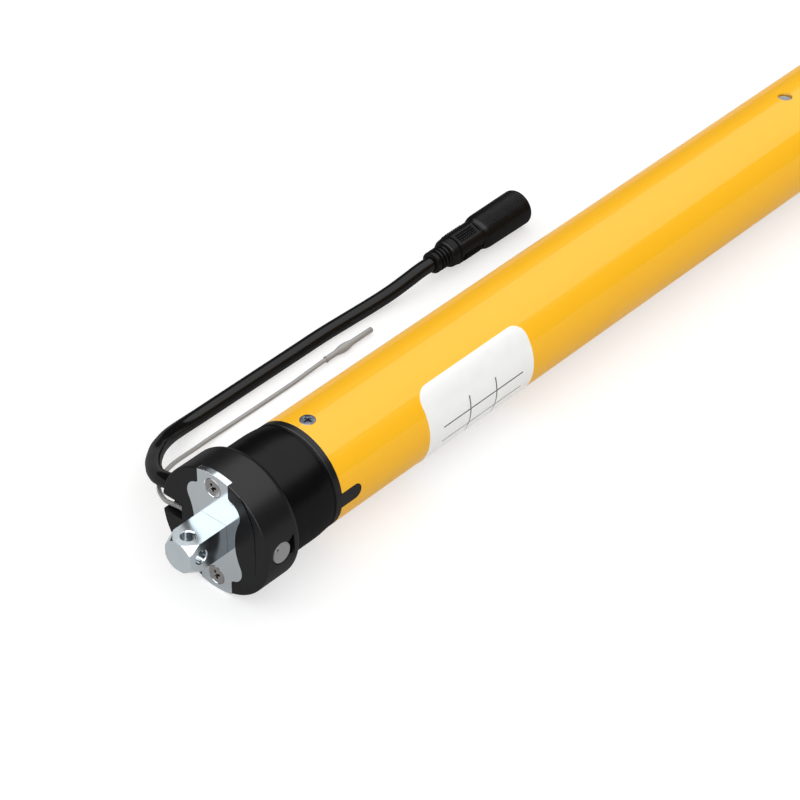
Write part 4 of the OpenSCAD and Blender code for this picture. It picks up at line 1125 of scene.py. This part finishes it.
def add_shaft():
    """The drive shaft with the last stage's disc and pins, its round seat, flats and clip groove."""
    shaft_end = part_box("output_shaft")[1].x
    disc_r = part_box("output_shaft")[1].z
    seat_r, neck, flats_r, pin_r, pin_circle = 6 * mm, 5.6 * mm, 5.8 * mm, 2.3 * mm, 9 * mm
    disc_x, disc_end, pin_start = 314.8 * mm, 322.8 * mm, 294.5 * mm
    journal_end, seat_x, flats_x = 372.8 * mm, 373.6 * mm, shaft_end - 10 * mm
    groove_x, groove_end, tip = shaft_end - 3 * mm, shaft_end - 1.9 * mm, 0.8 * mm
    groove_floor = flats_r - 0.6 * mm
    shaft = turned("drive_shaft", [
        (disc_x, 0), (disc_x, disc_r), (disc_end, disc_r), (disc_end, journal_r), (journal_end, journal_r),
        (journal_end, neck), (seat_x, neck), (seat_x, seat_r), (flats_x, seat_r), (flats_x, flats_r),
        (groove_x, flats_r), (groove_x, groove_floor), (groove_end, groove_floor), (groove_end, flats_r),
        (shaft_end - tip, flats_r), (shaft_end, flats_r - tip), (shaft_end, 0),
    ], 128)
    flat, wide, centre_r = 5 * mm, 12 * mm, 1.2 * mm
    tools = [block("flat", (flats_x, -wide, z), (shaft_end + flat, wide, z + wide))
             for z in (flat, -flat - wide)]
    tools.append(turned("centre", [
        (shaft_end - centre_r, 0), (shaft_end, centre_r), (shaft_end + flat, centre_r),
        (shaft_end + flat, 0),
    ], 48))
    bevelled(cut(shaft, *tools), 0.15 * mm)
    pin_end = disc_x + 0.1 * mm
    pins = turned("planet_pins", [(pin_start, 0), (pin_start, pin_r), (pin_end, pin_r), (pin_end, 0)], 48)
    smoothed(pins)
    pins.data.transform(Matrix.Translation((0, pin_circle, 0)))
    copied(pins, "shaft_steel", turns=3, turn=math.radians(120))
    return dressed(joined(shaft, pins), "output", "shaft_steel", "output_shaft")


# Floor, lamps and world
floor_size = 8.0
floor_grey = 0.5
floor_glow = 0.58
world_grey = 0.1


def add_floor():
    """A plain white floor that shows as white to the camera and keeps the object's shadow."""
    mesh = bmesh.new()
    mesh.faces.new([mesh.verts.new((x * floor_size, y * floor_size, floor_z - 0.02 * mm))
                    for x, y in ((-1, -1), (1, -1), (1, 1), (-1, 1))])
    floor = solid("floor", mesh)
    material = bpy.data.materials.new("floor_white")
    material.use_nodes = True
    tree = material.node_tree
    tree.nodes.remove(tree.nodes["Principled BSDF"])
    diffuse = node(tree, "ShaderNodeBsdfDiffuse")
    diffuse.inputs["Color"].default_value = (floor_grey, floor_grey, floor_grey, 1)
    glow = node(tree, "ShaderNodeEmission")
    glow.inputs["Strength"].default_value = floor_glow
    both = node(tree, "ShaderNodeAddShader")
    tree.links.new(diffuse.outputs[0], both.inputs[0])
    tree.links.new(glow.outputs[0], both.inputs[1])
    rays = node(tree, "ShaderNodeLightPath")
    seen = rays.outputs["Is Camera Ray"]
    for kind in ("Is Glossy Ray", "Is Transmission Ray"):
        add = node(tree, "ShaderNodeMath", operation="MAXIMUM")
        tree.links.new(seen, add.inputs[0])
        tree.links.new(rays.outputs[kind], add.inputs[1])
        seen = add.outputs["Value"]
    choice = node(tree, "ShaderNodeMixShader")
    tree.links.new(seen, choice.inputs["Fac"])
    tree.links.new(diffuse.outputs[0], choice.inputs[1])
    tree.links.new(both.outputs[0], choice.inputs[2])
    tree.links.new(choice.outputs[0], tree.nodes["Material Output"].inputs["Surface"])
    floor.data.materials.append(material)


def add_lamp(name, middle, size, radiance, target=None, **unseen_by):
    """A rectangular lamp that faces down or its target, where a radiance of 1 shows as white."""
    data = bpy.data.lights.new(name, "AREA")
    data.shape = "RECTANGLE"
    data.size, data.size_y = size
    data.energy = radiance * math.pi * size[0] * size[1]
    lamp = bpy.data.objects.new(name, data)
    lamp.location = middle
    if target:
        lamp.rotation_euler = (Vector(target) - lamp.location).to_track_quat("-Z", "Y").to_euler()
    lamp.visible_glossy = unseen_by.get("glossy", True)
    lamp.visible_diffuse = unseen_by.get("diffuse", True)
    lamp.visible_camera = False
    scene.collection.objects.link(lamp)


def add_lights():
    """Softboxes that shiny faces reflect, and wide lamps that only light."""
    add_lamp("softbox", (1.2, -0.105, 1.2), (2, 2.19), 2.5, diffuse=False)
    add_lamp("front_softbox", (-1.2, 0.3, 1.2), (2, 3), 7, diffuse=False)
    add_lamp("camera_card", (-0.9, -1.8, 1.1), (1.6, 2), 3.2, (0, 0, 0), diffuse=False)
    add_lamp("sky", (0, 0, 2.3), (6.6, 6.6), 0.5, diffuse=False)
    add_lamp("top_fill", (0, 0, 2), (6, 6), 1.15, glossy=False)
    add_lamp("side_fill", (-0.6, -3, 1.3), (5, 2.6), 1.15, (0.1, 0, 0), glossy=False)
    world = bpy.data.worlds.new("studio")
    world.use_nodes = True
    background = world.node_tree.nodes["Background"]
    background.inputs["Color"].default_value = (world_grey, world_grey, world_grey, 1)
    scene.world = world


# Carried-over pieces keep their shape and take the finish of their slot

def dress_frame_nodes():
    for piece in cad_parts.values():
        for slot in piece.material_slots:
            name = slot.material.name.split(".")[0]
            if name in finishes:
                slot.material = finishes[name]


add_camera()
add_cords()
dress_frame_nodes()
add_head()
add_gland()
add_plate()
add_pin()
add_plate_screws()
add_tube_screws()
add_button()
add_ring()
add_collar()
add_tube()
add_label()
add_bearing()
add_shaft()
add_floor()
add_lights()
